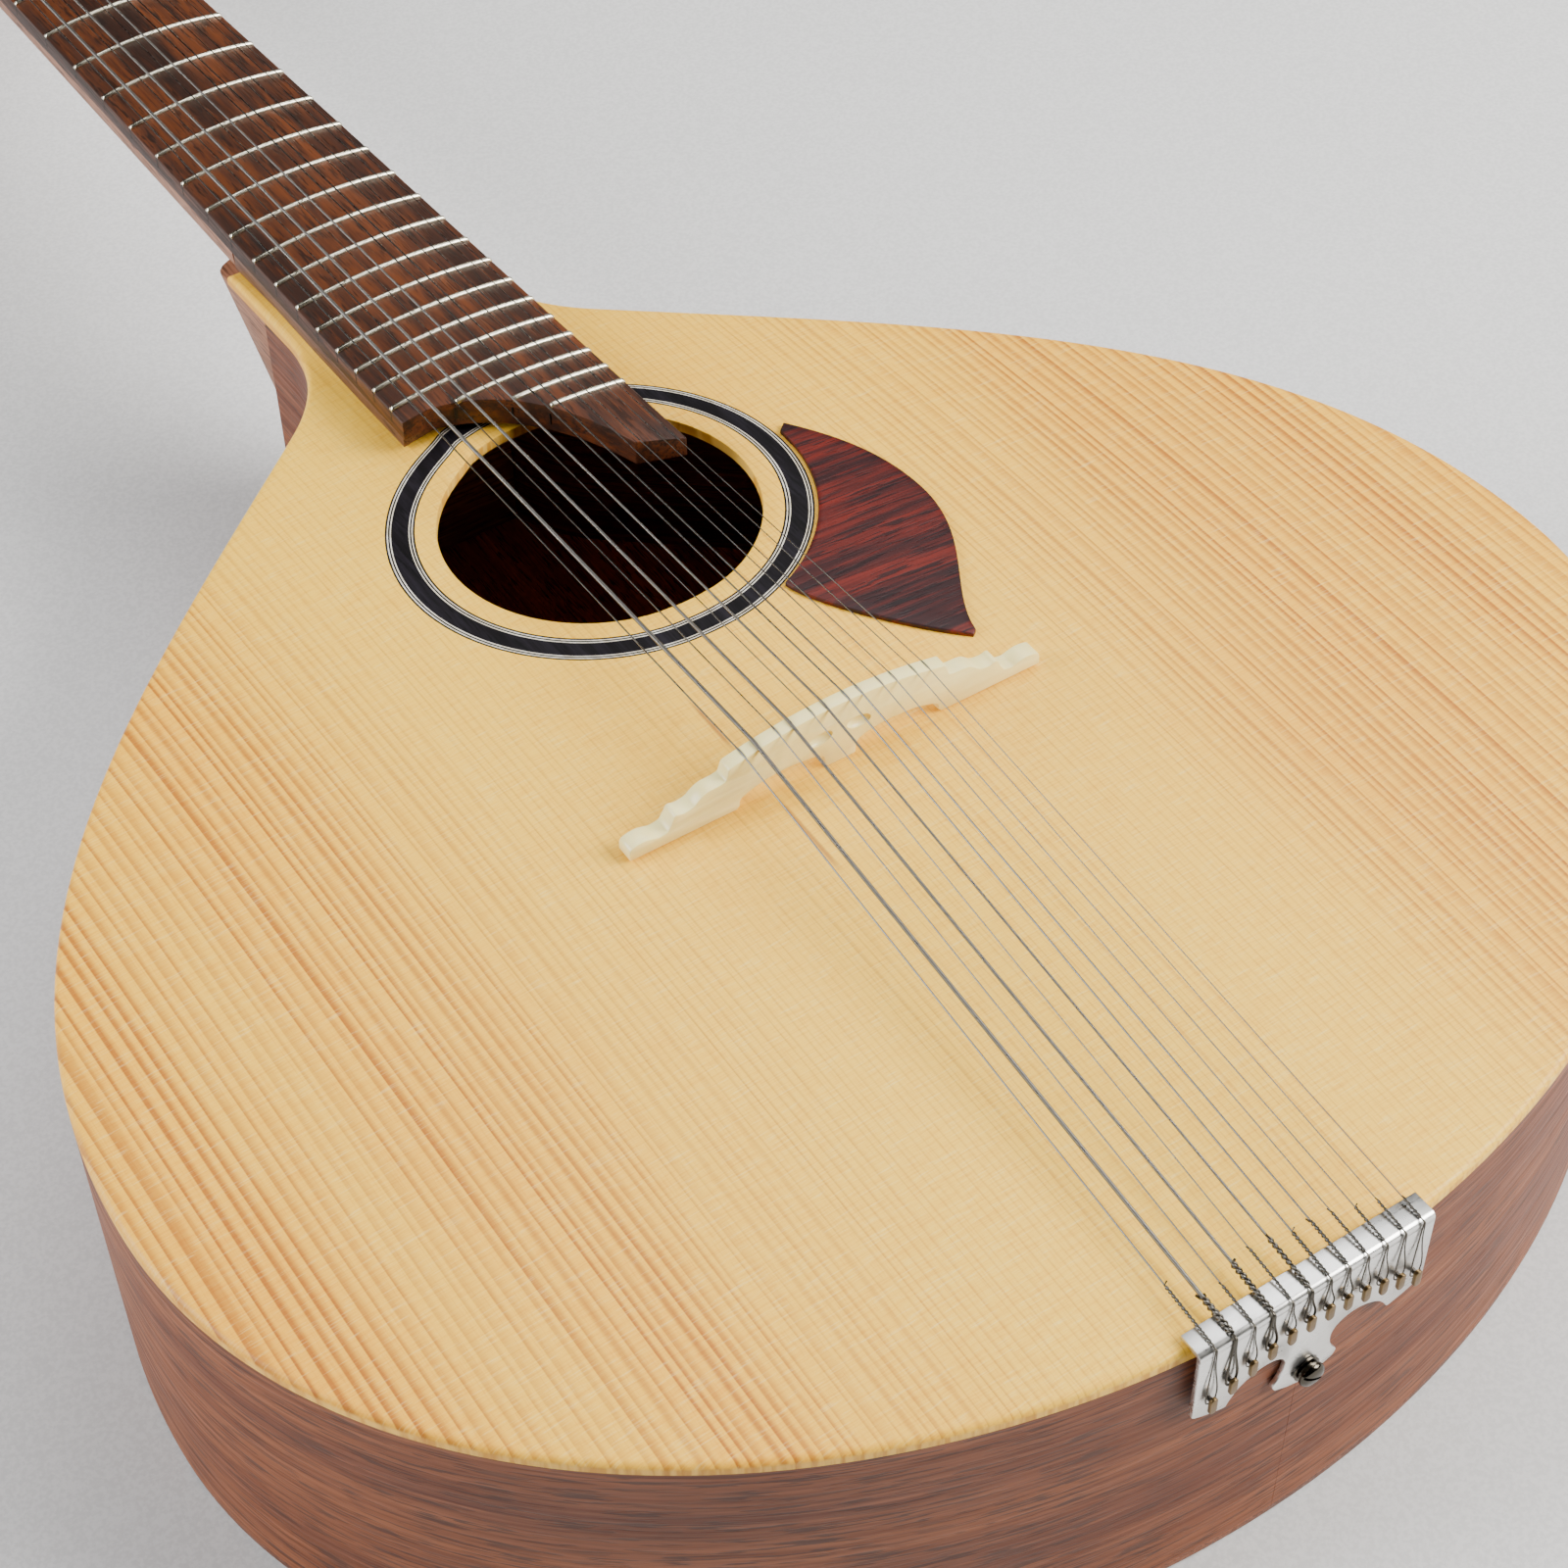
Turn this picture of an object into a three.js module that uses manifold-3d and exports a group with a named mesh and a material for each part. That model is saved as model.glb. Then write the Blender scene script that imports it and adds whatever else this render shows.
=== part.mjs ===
// Twelve-string cittern of the Coimbra type: teardrop body, floating bridge, wire-strung tailpiece
// and a fan tuning machine. Millimetres. +X treble side, +Y towards the head, +Z out of the top.
// The origin is on the outer face of the back, under the string line of the bridge.
import * as THREE from 'three';
import { mergeVertices } from 'three/addons/utils/BufferGeometryUtils.js';
import Module from 'manifold-3d';

const wasm = await Module();
wasm.setup();

// ---- driving dimensions -------------------------------------------------------------------------
const scale_length = 470;        // bridge string line to nut
const fret_count = 22;
const course_count = 6;
const clearance = 0.3;           // gap kept between pieces that touch

// body
const body_half_width = 191.5;
const widest_y = -25.5;          // where the body is widest
const tail_depth = 145;          // from the widest line to the tail
const shoulder_half_width = 45.8;
const shoulder_y = 178;
const widest_pull = 89;          // how long the sides stay straight above the widest line
const shoulder_pull = 95;        // how long the shoulders stay straight
const shoulder_slope = 0.85;     // fall of the shoulder line, per unit of width
const waist_overhang = 2.6;      // body past the fingerboard's edge, each side
const waist_rise = 35.5;         // from the shoulder to where the sides run straight
const rib_end_y = 228;           // where the ribs meet the heel
const top_end_y = 250;           // where the soundboard ends beside the fingerboard
const body_depth = 88;           // outer back to the soundboard's edge
const top_thickness = 3;
const back_thickness = 3;
const rib_thickness = 2.4;
const dome_height = 7.5;
const dome_y = 10;
const dome_power = 2;
const rim_fall = 5;              // the rim drops by this much from rim_fall_start to the neck
const rim_fall_start = 40;

// soundhole and rosette
const hole_y = 100.5;
const hole_radius = 40.4;
const rosette_inner_radius = 45.8;
const rosette_outer_radius = 53.2;
const rosette_depth = 1.2;

// fingerboard
const nut_half_width = 22;
const board_taper = 0.0155;      // half-width gained per millimetre towards the body
const board_edge_thickness = 5.8;
const board_camber = 2.2;        // centre above edges
const board_bass_end_y = 150.5;
const board_tongue_end_y = 103;
const board_edge_rise = 11.8;    // board edge over the soundboard's rim, at the bass end
const wedge_gap = 0.9;           // room for the soundboard's curve under the wedge
const neck_fall = 0.045;         // fall of the board towards the nut, per millimetre
const tongue_inner_x = 15.5;
const cut_start_x = -20;
const cut_end_y = 107.5;
const fret_width = 1.6;
const fret_height = 1;

// neck, head and nut
const neck_depth_at_nut = 13;
const neck_depth_at_heel = 17;
const nut_thickness = 5;
const head_step = 3.4;           // head face below the neck's glued face
const head_thickness = 15;
const head_margin = 7;           // wood outside the outermost tuner
const finial_length = 44;
const finial_half_width = 13;

// bridge
const bridge_half_length = 56;
const bridge_crest = 17.4;       // height over its feet, at the middle
const bridge_camber = 2.8;       // fall of the crest at the outer strings
const bridge_foot_thickness = 5;
const bridge_crest_thickness = 2.2;
const bridge_skew = -0.8 * Math.PI / 180;
const bridge_setback = 1.8;      // string compensation: the bridge stands behind the scale line

// strings: bass to treble, thin and thick in the bass courses
const string_radii = [0.2, 0.5, 0.17, 0.4, 0.15, 0.3, 0.22, 0.22, 0.15, 0.15, 0.13, 0.13];
const bridge_course_pitch = 9.25;
const bridge_pair_gap = 3.6;
const nut_side_margin = 3.3;     // nut outside the outer strings
const nut_pair_gap = 2.4;
const string_lift = 0.5;         // nut top over the board's fret line

// tailpiece
const tail_half_width = 30.5;
const tail_plate_thickness = 1.3;
const tail_flange_depth = 5.2;
const tail_lobe_drop = 35;
const tongue_side_margin = 3.55; // plate outside the outer tongues' middles
const tongue_width = 2;
const tongue_height = 4.6;
const tongue_reach = 2.6;
const tongue_first_drop = 8.6;   // middle tongues below the flange
const tongue_arch = 8.4;         // outer tongues lower than the middle ones
const button_radius = 3.3;
const button_height = 3.2;
const button_shaft_radius = 1.8;
const button_drop = 27.8;

// fan tuning machine
const fan_centre_back = 75;      // fan centre behind the nut
const fan_step = 2.6 * Math.PI / 180;
const rail_radius = 162;
const rail_thickness = 6;
const rod_start = 101;
const rod_height = 6.5;          // rod axis over the head's face
const rod_fit = 0.1;             // radial clearance of a rod in the rail
const hook_radius_at_rest = 126;
const rod_radius = 0.28 * hook_radius_at_rest * fan_step;
const hook_length = 7;
const hook_width_share = 0.668;   // of the distance between rods at the hooks
const hook_height = 5.4;
const knob_collar_radius = 2.8;
const knob_collar_length = 3;
const knob_side_gap = 0.62;      // between knobs, at their narrowest
const knob_length = 11;
const plate_thickness = 1.5;

// pickguard
const guard_gap = 0.9;           // from the rosette
const guard_thickness = 1.6;

// inside
const block_length = 34;
const tail_block_length = 20;
const tail_block_half_width = 36;
const top_brace_y = [158, 44, -72];
const back_brace_y = [128, 8, -108];
const brace_width = 7;
const brace_height = 13;
const brace_end_height = 4;

// ---- materials ----------------------------------------------------------------------------------
const paint = (color, roughness, metalness = 0) => {
  return new THREE.MeshStandardMaterial({ color, roughness, metalness });
};
const spruce = paint('#ecd39a', 0.35);
const mahogany = paint('#7d4632', 0.4);
const neck_wood = paint('#a5694a', 0.45);
const rosewood = paint('#4b2a1c', 0.45);
const light_wood = paint('#d9b886', 0.7);
const ring_black = paint('#1b1718', 0.4);
const bone = paint('#f1e6c6', 0.35);
const nickel = paint('#d9d9d6', 0.2, 1);
const brass = paint('#b89a55', 0.3, 1);
const steel = paint('#b9bcc0', 0.25, 1);

const instrument = new THREE.Group();

// ---- helpers ------------------------------------------------------------------------------------
const lerp = THREE.MathUtils.lerp;

function add(name, geometry, material) {
  const mesh = new THREE.Mesh(geometry, material);
  mesh.name = name;
  instrument.add(mesh);
  return mesh;
}

// A closed indexed geometry whose faces point out, whichever way the triangles were listed.
function closed(points, triangles) {
  let volume = 0;
  for (const [a, b, c] of triangles) {
    volume += points[a].dot(new THREE.Vector3().crossVectors(points[b], points[c]));
  }
  const turned = volume < 0 ? triangles.map(([a, b, c]) => [a, c, b]) : triangles;
  const geometry = new THREE.BufferGeometry();
  const numbers = points.flatMap((p) => [p.x, p.y, p.z]);
  geometry.setAttribute('position', new THREE.Float32BufferAttribute(numbers, 3));
  geometry.setIndex(turned.flat());
  geometry.computeVertexNormals();
  return geometry;
}

// A solid between two sheets of points. Both are rows of equal length; a ring joins each row's ends.
function shell(top, bottom, ring = false) {
  const rows = top.length;
  const columns = top[0].length;
  const points = [...top.flat(), ...bottom.flat()];
  const at = (sheet, r, c) => sheet * rows * columns + r * columns + (c % columns);
  const triangles = [];
  const quad = (a, b, c, d) => {
    triangles.push([a, b, c]);
    triangles.push([a, c, d]);
  };
  const last = ring ? columns : columns - 1;
  for (let r = 0; r < rows - 1; r += 1) {
    for (let c = 0; c < last; c += 1) {
      quad(at(0, r, c), at(0, r, c + 1), at(0, r + 1, c + 1), at(0, r + 1, c));
      quad(at(1, r, c), at(1, r + 1, c), at(1, r + 1, c + 1), at(1, r, c + 1));
    }
  }
  const end = rows - 1;
  for (let c = 0; c < last; c += 1) {
    quad(at(0, 0, c), at(1, 0, c), at(1, 0, c + 1), at(0, 0, c + 1));
    quad(at(0, end, c), at(0, end, c + 1), at(1, end, c + 1), at(1, end, c));
  }
  if (!ring) {
    const side = columns - 1;
    for (let r = 0; r < rows - 1; r += 1) {
      quad(at(0, r, 0), at(0, r + 1, 0), at(1, r + 1, 0), at(1, r, 0));
      quad(at(0, r, side), at(1, r, side), at(1, r + 1, side), at(0, r + 1, side));
    }
  }
  return closed(points, triangles);
}

// A solid through a row of closed convex sections with the same number of points.
function loft(sections) {
  const count = sections[0].length;
  const points = sections.flat();
  const triangles = [];
  for (let s = 0; s < sections.length - 1; s += 1) {
    for (let k = 0; k < count; k += 1) {
      const next = (k + 1) % count;
      triangles.push([s * count + k, s * count + next, (s + 1) * count + next]);
      triangles.push([s * count + k, (s + 1) * count + next, (s + 1) * count + k]);
    }
  }
  const end = (sections.length - 1) * count;
  for (let k = 1; k < count - 1; k += 1) {
    triangles.push([0, k + 1, k]);
    triangles.push([end, end + k, end + k + 1]);
  }
  return closed(points, triangles);
}

// A round tube along straight stretches, mitred at each corner.
function tube(points, radius, sides) {
  const sections = points.map((point, i) => {
    const before = points[Math.max(i - 1, 0)];
    const after = points[Math.min(i + 1, points.length - 1)];
    const into = point.clone().sub(before).normalize();
    const out = after.clone().sub(point).normalize();
    const tangent = into.clone().add(out).normalize();
    const side = new THREE.Vector3(1, 0, 0).addScaledVector(tangent, -tangent.x).normalize();
    const up = new THREE.Vector3().crossVectors(side, tangent);
    const stretch = 1 / Math.max(tangent.dot(i === 0 ? out : into), 0.5);
    return Array.from({ length: sides }, (_, k) => {
      const angle = (k + 0.5) * 2 * Math.PI / sides;
      return point.clone()
        .addScaledVector(side, radius * Math.cos(angle))
        .addScaledVector(up, radius * stretch * Math.sin(angle));
    });
  });
  return loft(sections);
}

function extrude(outline, depth, curveSegments = 12) {
  const shape = outline instanceof THREE.Shape ? outline : new THREE.Shape(outline);
  return new THREE.ExtrudeGeometry(shape, { depth, bevelEnabled: false, curveSegments });
}

function box(width, length, height, x, y, z) {
  return new THREE.BoxGeometry(width, length, height).translate(x, y, z);
}

// A cylinder along Y from y0 to y1.
function rod(radius, y0, y1, sides) {
  return new THREE.CylinderGeometry(radius, radius, y1 - y0, sides).translate(0, (y0 + y1) / 2, 0);
}

function toSolid(geometry) {
  const bare = geometry.clone();
  bare.deleteAttribute('normal');
  bare.deleteAttribute('uv');
  const merged = mergeVertices(bare, 1e-4);
  return new wasm.Manifold(new wasm.Mesh({
    numProp: 3,
    vertProperties: new Float32Array(merged.attributes.position.array),
    triVerts: new Uint32Array(merged.index.array),
  }));
}

function fromSolid(solid) {
  const mesh = solid.getMesh();
  const geometry = new THREE.BufferGeometry();
  geometry.setAttribute('position', new THREE.BufferAttribute(mesh.vertProperties, 3));
  geometry.setIndex(new THREE.BufferAttribute(mesh.triVerts, 1));
  return geometry.toNonIndexed();
}

const joined = (pieces) => fromSolid(pieces.map(toSolid).reduce((whole, piece) => whole.add(piece)));
const cut = (piece, tool) => fromSolid(toSolid(piece).subtract(toSolid(tool)));

// ---- body outline -------------------------------------------------------------------------------
const tail_y = widest_y - tail_depth;
const nut_y = scale_length;
const boardHalfWidth = (y) => nut_half_width + (nut_y - y) * board_taper;
const waist_half_width = boardHalfWidth(top_end_y) + waist_overhang;

// Right half of the outline, from the middle of the tail to the end of the soundboard.
function halfOutline() {
  const path = new THREE.CurvePath();
  const v = (x, y) => new THREE.Vector2(x, y);
  const across = 1 / Math.hypot(1, shoulder_slope);
  const shoulder = v(shoulder_half_width, shoulder_y);
  const along = v(across, -across * shoulder_slope);
  path.add(new THREE.EllipseCurve(0, widest_y, body_half_width, tail_depth, -Math.PI / 2, 0));
  path.add(new THREE.CubicBezierCurve(
    v(body_half_width, widest_y),
    v(body_half_width, widest_y + widest_pull),
    shoulder.clone().addScaledVector(along, shoulder_pull),
    shoulder,
  ));
  const straight_y = shoulder_y + waist_rise;
  const waist_pull = 0.42 * waist_rise;
  path.add(new THREE.CubicBezierCurve(
    shoulder,
    shoulder.clone().addScaledVector(along, -waist_pull),
    v(waist_half_width + 0.5, straight_y - waist_pull),
    v(waist_half_width, straight_y),
  ));
  const counts = [16, 22, 6];
  const points = [];
  path.curves.forEach((curve, i) => {
    curve.getPoints(counts[i]).forEach((point, k) => {
      if (i === 0 || k > 0) {
        points.push(point);
      }
    });
  });
  points.push(v(waist_half_width, top_end_y));
  return points;
}
const outline = halfOutline();

// The same half, moved inwards and cut off at end_y.
function inset(distance, end_y) {
  const moved = outline.map((point, i) => {
    const before = outline[Math.max(i - 1, 0)];
    const after = outline[Math.min(i + 1, outline.length - 1)];
    const along = after.clone().sub(before).normalize();
    return new THREE.Vector2(point.x - along.y * distance, point.y + along.x * distance);
  });
  moved[0].x = 0;
  const kept = moved.filter((point) => point.y < end_y - 1);
  kept.push(new THREE.Vector2(moved[moved.length - 1].x, end_y));
  return kept;
}

const mirror = (points) => points.map((p) => new THREE.Vector2(-p.x, p.y)).reverse();
const wholeOutline = (half) => [...half, ...mirror(half).filter((p) => p.x < 0)];

// The rim is level round the lower body and drops towards the neck.
function rimZ(y) {
  const share = Math.max(y - rim_fall_start, 0) / (top_end_y - rim_fall_start);
  return body_depth - rim_fall * share ** 2;
}

// Height of the domed soundboard.
const rim_table = wholeOutline(outline).map((p) => {
  const angle = Math.atan2(p.x, p.y - dome_y);
  return [angle, Math.hypot(p.x, p.y - dome_y)];
}).sort((a, b) => a[0] - b[0]);

function rimDistance(angle) {
  const after = rim_table.findIndex((entry) => entry[0] >= angle);
  const [a1, r1] = rim_table[after < 0 ? 0 : after];
  const [a0, r0] = rim_table[after <= 0 ? rim_table.length - 1 : after - 1];
  const span = (a1 - a0 + 2 * Math.PI) % (2 * Math.PI);
  const part = (angle - a0 + 2 * Math.PI) % (2 * Math.PI);
  return lerp(r0, r1, span > 0 ? part / span : 0);
}

function dome(x, y) {
  const distance = Math.hypot(x, y - dome_y);
  const share = Math.min(distance / rimDistance(Math.atan2(x, y - dome_y)), 1);
  return rimZ(y) + dome_height * (1 - share ** dome_power);
}

// ---- soundboard with soundhole and rosette groove -----------------------------------------------
const onTop = (x, y, below = 0) => new THREE.Vector3(x, y, dome(x, y) - below);

// The rim with extra points along its short straight end, so that every ring round the hole is even.
function evenRim() {
  const steps = 5;
  const across = Array.from({ length: steps - 1 }, (_, k) => {
    return new THREE.Vector2(lerp(waist_half_width, -waist_half_width, (k + 1) / steps), top_end_y);
  });
  return [...outline, ...across, ...mirror(outline).filter((p) => p.x < 0)];
}
const rim = evenRim();
const hole_centre = new THREE.Vector2(0, hole_y);
const holeRay = (point, radius) => {
  return point.clone().sub(hole_centre).normalize().multiplyScalar(radius).add(hole_centre);
};
const ringAt = (radius, below) => rim.map((point) => {
  const ray = holeRay(point, radius);
  return onTop(ray.x, ray.y, below);
});

function soundboard() {
  const between = (share, below) => rim.map((point) => {
    const ray = holeRay(point, rosette_outer_radius);
    return onTop(lerp(ray.x, point.x, share), lerp(ray.y, point.y, share), below);
  });
  const edge = (below) => rim.map((point) => {
    return new THREE.Vector3(point.x, point.y, rimZ(point.y) - below);
  });
  const shares = [0.25, 0.5, 0.75, 0.92];
  const top = [
    ringAt(hole_radius, 0),
    ringAt(rosette_inner_radius, 0),
    ringAt(rosette_inner_radius, rosette_depth),
    ringAt(rosette_outer_radius, rosette_depth),
    ringAt(rosette_outer_radius, 0),
    ...shares.map((share) => between(share, 0)),
    edge(0),
  ];
  const bottom = [
    ringAt(hole_radius, top_thickness),
    ringAt(rosette_inner_radius - 0.5, top_thickness),
    ringAt(rosette_inner_radius, top_thickness),
    ringAt(rosette_outer_radius, top_thickness),
    ringAt(rosette_outer_radius + 0.5, top_thickness),
    ...shares.map((share) => between(share, top_thickness)),
    edge(top_thickness),
  ];
  return shell(top, bottom, true);
}
add('soundboard', soundboard(), spruce);

function rosette() {
  const inner = rosette_inner_radius + clearance;
  const outer = rosette_outer_radius - clearance;
  const floor = rosette_depth - clearance;
  const sheet = (below) => [ringAt(inner, below), ringAt(outer, below)];
  return shell(sheet(0.05), sheet(floor), true);
}
add('rosette', rosette(), ring_black);

// ---- back and ribs ------------------------------------------------------------------------------
add('back', extrude(wholeOutline(inset(0, rib_end_y)), back_thickness), mahogany);

const inside_floor = back_thickness + clearance;
const ceilingZ = (y) => rimZ(y) - top_thickness - clearance;
const button_z = body_depth - button_drop;
const button_hole = rod(button_shaft_radius + clearance, tail_y - 40, tail_y + 60, 10);
button_hole.translate(0, 0, button_z);

function rib(side) {
  const outer = inset(0, rib_end_y);
  const inner = inset(rib_thickness, rib_end_y);
  outer[0].x = clearance / 2;
  inner[0].x = clearance / 2;
  const rows = (height) => [outer, inner].map((line) => line.map((p) => {
    return new THREE.Vector3(side * p.x, p.y, height(p.y));
  }));
  return cut(shell(rows(ceilingZ), rows(() => inside_floor)), button_hole);
}
add('rib_treble', rib(1), mahogany);
add('rib_bass', rib(-1), mahogany);

const inner_half = (end_y) => inset(rib_thickness + clearance, end_y);

function neckBlock() {
  const side = inner_half(rib_end_y).filter((p) => p.y > rib_end_y - block_length);
  const block = extrude([...side, ...mirror(side)], ceilingZ(rib_end_y) - inside_floor);
  return block.translate(0, 0, inside_floor);
}
add('neck_block', neckBlock(), light_wood);

function tailBlock() {
  const side = inner_half(rib_end_y).filter((p) => p.y < 0 && p.x < tail_block_half_width);
  const front_y = tail_y + rib_thickness + tail_block_length;
  side.push(new THREE.Vector2(side[side.length - 1].x, front_y));
  const solid = extrude(wholeOutline(side), ceilingZ(tail_y) - inside_floor);
  return cut(solid.translate(0, 0, inside_floor), button_hole);
}
add('tail_block', tailBlock(), light_wood);

// Half the clear width inside the ribs at a given y.
function clearHalfWidth(y) {
  const side = inner_half(rib_end_y);
  const spans = side.slice(1).map((point, i) => [side[i], point]);
  const span = spans.find(([a, b]) => Math.min(a.y, b.y) <= y && y <= Math.max(a.y, b.y));
  const [a, b] = span;
  return lerp(a.x, b.x, (y - a.y) / (b.y - a.y));
}

// A brace across the body: deep in the middle, shallow at its ends.
function brace(y, face, sign) {
  const half = Math.min(clearHalfWidth(y - brace_width / 2), clearHalfWidth(y + brace_width / 2)) - 2;
  const columns = 10;
  const row = (offset, depth) => Array.from({ length: columns + 1 }, (_, k) => {
    const x = lerp(-half, half, k / columns);
    const share = Math.abs(x) / half;
    const height = depth * lerp(brace_height, brace_end_height, share ** 2);
    return new THREE.Vector3(x, y + offset, face(x, y + offset) + sign * (clearance + height));
  });
  const edges = [-brace_width / 2, brace_width / 2];
  return shell(edges.map((edge) => row(edge, 0)), edges.map((edge) => row(edge, 1)));
}
top_brace_y.forEach((y, i) => {
  add(`top_brace_${i + 1}`, brace(y, (bx, by) => dome(bx, by) - top_thickness, -1), light_wood);
});
back_brace_y.forEach((y, i) => {
  add(`back_brace_${i + 1}`, brace(y, () => back_thickness, 1), light_wood);
});

// ---- fingerboard with frets ---------------------------------------------------------------------
// Heights of the board, measured from its edge line, which falls towards the nut.
const edgeLine = (y) => body_depth + board_edge_rise - (y - board_bass_end_y) * neck_fall;
const boardUnder = (y) => edgeLine(y) - board_edge_thickness;
const camberAt = (x, y) => board_camber * (1 - (x / boardHalfWidth(y)) ** 2);
const fretLine = (x, y) => edgeLine(y) + camberAt(x, y) + fret_height;
const fretY = (n) => scale_length * 2 ** (-n / 12);

// The board's end: square on the bass side, then a hollow cut down to the treble tongue.
const cut_curve = new THREE.QuadraticBezierCurve(
  new THREE.Vector2(cut_start_x, board_bass_end_y),
  new THREE.Vector2(6, board_bass_end_y - 7),
  new THREE.Vector2(tongue_inner_x, cut_end_y),
);
const cut_points = cut_curve.getPoints(8);

function fingerboard() {
  const end = [
    new THREE.Vector2(-boardHalfWidth(board_bass_end_y), board_bass_end_y),
    ...cut_points,
    new THREE.Vector2(boardHalfWidth(board_tongue_end_y), board_tongue_end_y),
  ];
  const rows = (height) => [0, 1].map((row) => end.map((point) => {
    const y = row === 0 ? point.y : nut_y - clearance;
    const x = row === 0 ? point.x : point.x * boardHalfWidth(y) / boardHalfWidth(point.y);
    return new THREE.Vector3(x, y, height(x, y));
  }));
  const board = shell(rows((x, y) => edgeLine(y) + camberAt(x, y)), rows((x, y) => boardUnder(y)));
  return joined([board, ...Array.from({ length: fret_count }, (_, i) => fret(i + 1))]);
}

// Where a fret starts on the bass side: at the board's edge, or on the hollow cut.
function fretStart(y) {
  if (y > board_bass_end_y) {
    return -boardHalfWidth(y) + 0.2;
  }
  const spans = cut_points.slice(1).map((point, i) => [cut_points[i], point]);
  const [a, b] = spans.find(([p, q]) => q.y <= y && y <= p.y);
  return lerp(a.x, b.x, (y - a.y) / (b.y - a.y)) + 0.5;
}

function fret(n) {
  const y = fretY(n);
  const start = fretStart(y - fret_width / 2);
  const stop = boardHalfWidth(y) - 0.2;
  const columns = 8;
  const row = (offset, height) => Array.from({ length: columns + 1 }, (_, k) => {
    const x = lerp(start, stop, k / columns);
    return new THREE.Vector3(x, y + offset, edgeLine(y) + camberAt(x, y) + height);
  });
  const edges = [-fret_width / 2, fret_width / 2];
  return shell(edges.map((edge) => row(edge, fret_height)), edges.map((edge) => row(edge, -0.8)));
}
add('fingerboard', fingerboard(), rosewood);

// Wedge that carries the fingerboard over the soundboard.
function boardWedge() {
  const stations = 5;
  const ys = Array.from({ length: stations }, (_, k) => {
    return lerp(board_bass_end_y + 1.5, top_end_y, k / (stations - 1));
  });
  const columns = 6;
  const rows = (height) => ys.map((y) => Array.from({ length: columns + 1 }, (_, k) => {
    const half = boardHalfWidth(y) - 0.4;
    const x = lerp(-half, half, k / columns);
    return new THREE.Vector3(x, y, height(x, y));
  }));
  return shell(rows((x, y) => boardUnder(y) - clearance), rows((x, y) => dome(x, y) + wedge_gap));
}
add('fingerboard_wedge', boardWedge(), rosewood);

// ---- neck and heel ------------------------------------------------------------------------------
function neckSection(y, half, top, depth) {
  const arc = 10;
  return Array.from({ length: arc + 1 }, (_, k) => {
    const angle = Math.PI * k / arc;
    const drop = Math.sin(angle) ** 0.8 * depth;
    return new THREE.Vector3(half * Math.cos(angle), y, top - drop);
  });
}

const neck_start_y = top_end_y + clearance;
const neck_end_y = nut_y + nut_thickness + 1;

function neck() {
  const shaft = loft([0, 0.25, 0.6, 1].map((share) => {
    const y = lerp(neck_start_y, neck_end_y, share);
    const depth = lerp(neck_depth_at_heel, neck_depth_at_nut, share);
    return neckSection(y, boardHalfWidth(y) - 0.2, boardUnder(y) - clearance, depth);
  }));
  return joined([shaft, heel()]);
}

// The heel stands on the ribs' end and its front sweeps down from the neck.
function heel() {
  const top = ceilingZ(top_end_y);
  const start = rib_end_y + clearance;
  const levels = [0, 0.12, 0.28, 0.5, 0.75, 1];
  return loft(levels.map((level) => {
    const z = lerp(top, 1, level);
    const half = lerp(waist_half_width - 0.5, 15, level ** 1.6);
    const corner = start + 1 + 26 * (1 - level) ** 3.2;
    const nose = corner + lerp(8, 5, level);
    return [
      new THREE.Vector3(-half, start, z),
      new THREE.Vector3(-half, corner, z),
      new THREE.Vector3(-half * 0.72, lerp(corner, nose, 0.6), z),
      new THREE.Vector3(-half * 0.3, nose, z),
      new THREE.Vector3(half * 0.3, nose, z),
      new THREE.Vector3(half * 0.72, lerp(corner, nose, 0.6), z),
      new THREE.Vector3(half, corner, z),
      new THREE.Vector3(half, start, z),
    ];
  }));
}
add('neck', neck(), neck_wood);

// ---- nut ----------------------------------------------------------------------------------------
const nutTop = (x) => fretLine(x, nut_y) + string_lift;

function nut() {
  const columns = 8;
  const row = (offset, height) => Array.from({ length: columns + 1 }, (_, k) => {
    const x = lerp(-nut_half_width, nut_half_width, k / columns);
    return new THREE.Vector3(x, nut_y + offset, height(x));
  });
  const rows = (height) => [row(0, height), row(nut_thickness, height)];
  return shell(rows(nutTop), rows(() => boardUnder(nut_y)));
}
add('nut', nut(), bone);

// ---- strings at bridge and nut ------------------------------------------------------------------
const string_count = 2 * course_count;
const courseOffset = (i, pitch, pair) => {
  const course = Math.floor(i / 2) - (course_count - 1) / 2;
  return course * pitch + (i % 2 === 0 ? -pair / 2 : pair / 2);
};
const nut_span = 2 * (nut_half_width - nut_side_margin) - nut_pair_gap;
const nut_course_pitch = nut_span / (course_count - 1);
const bridgeX = (i) => courseOffset(i, bridge_course_pitch, bridge_pair_gap);
const nutX = (i) => courseOffset(i, nut_course_pitch, nut_pair_gap);
const outer_string_x = bridgeX(string_count - 1);

// ---- bridge -------------------------------------------------------------------------------------
const bridge_base = body_depth + dome_height + clearance;
const crestAt = (x) => bridge_crest - bridge_camber * (x / outer_string_x) ** 2;

// Right half of the bridge's front view. The arch between the feet is given as shares of the half
// length and of the crest's height, and the stepped wing as shares of the room beside the crest.
const arch_shape = [
  [0, 0], [0.075, 0], [0.082, 0.184], [0.125, 0.264], [0.25, 0.31], [0.375, 0.276], [0.471, 0.172],
  [0.489, 0.115], [0.5, 0],
];
const wing_shape = [
  [1, 0], [1, 0.15], [0.944, 0.207], [0.831, 0.23], [0.729, 0.184], [0.624, 0.207],
  [0.549, 0.402], [0.361, 0.437], [0.278, 0.552], [0.267, 0.713],
];

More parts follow.
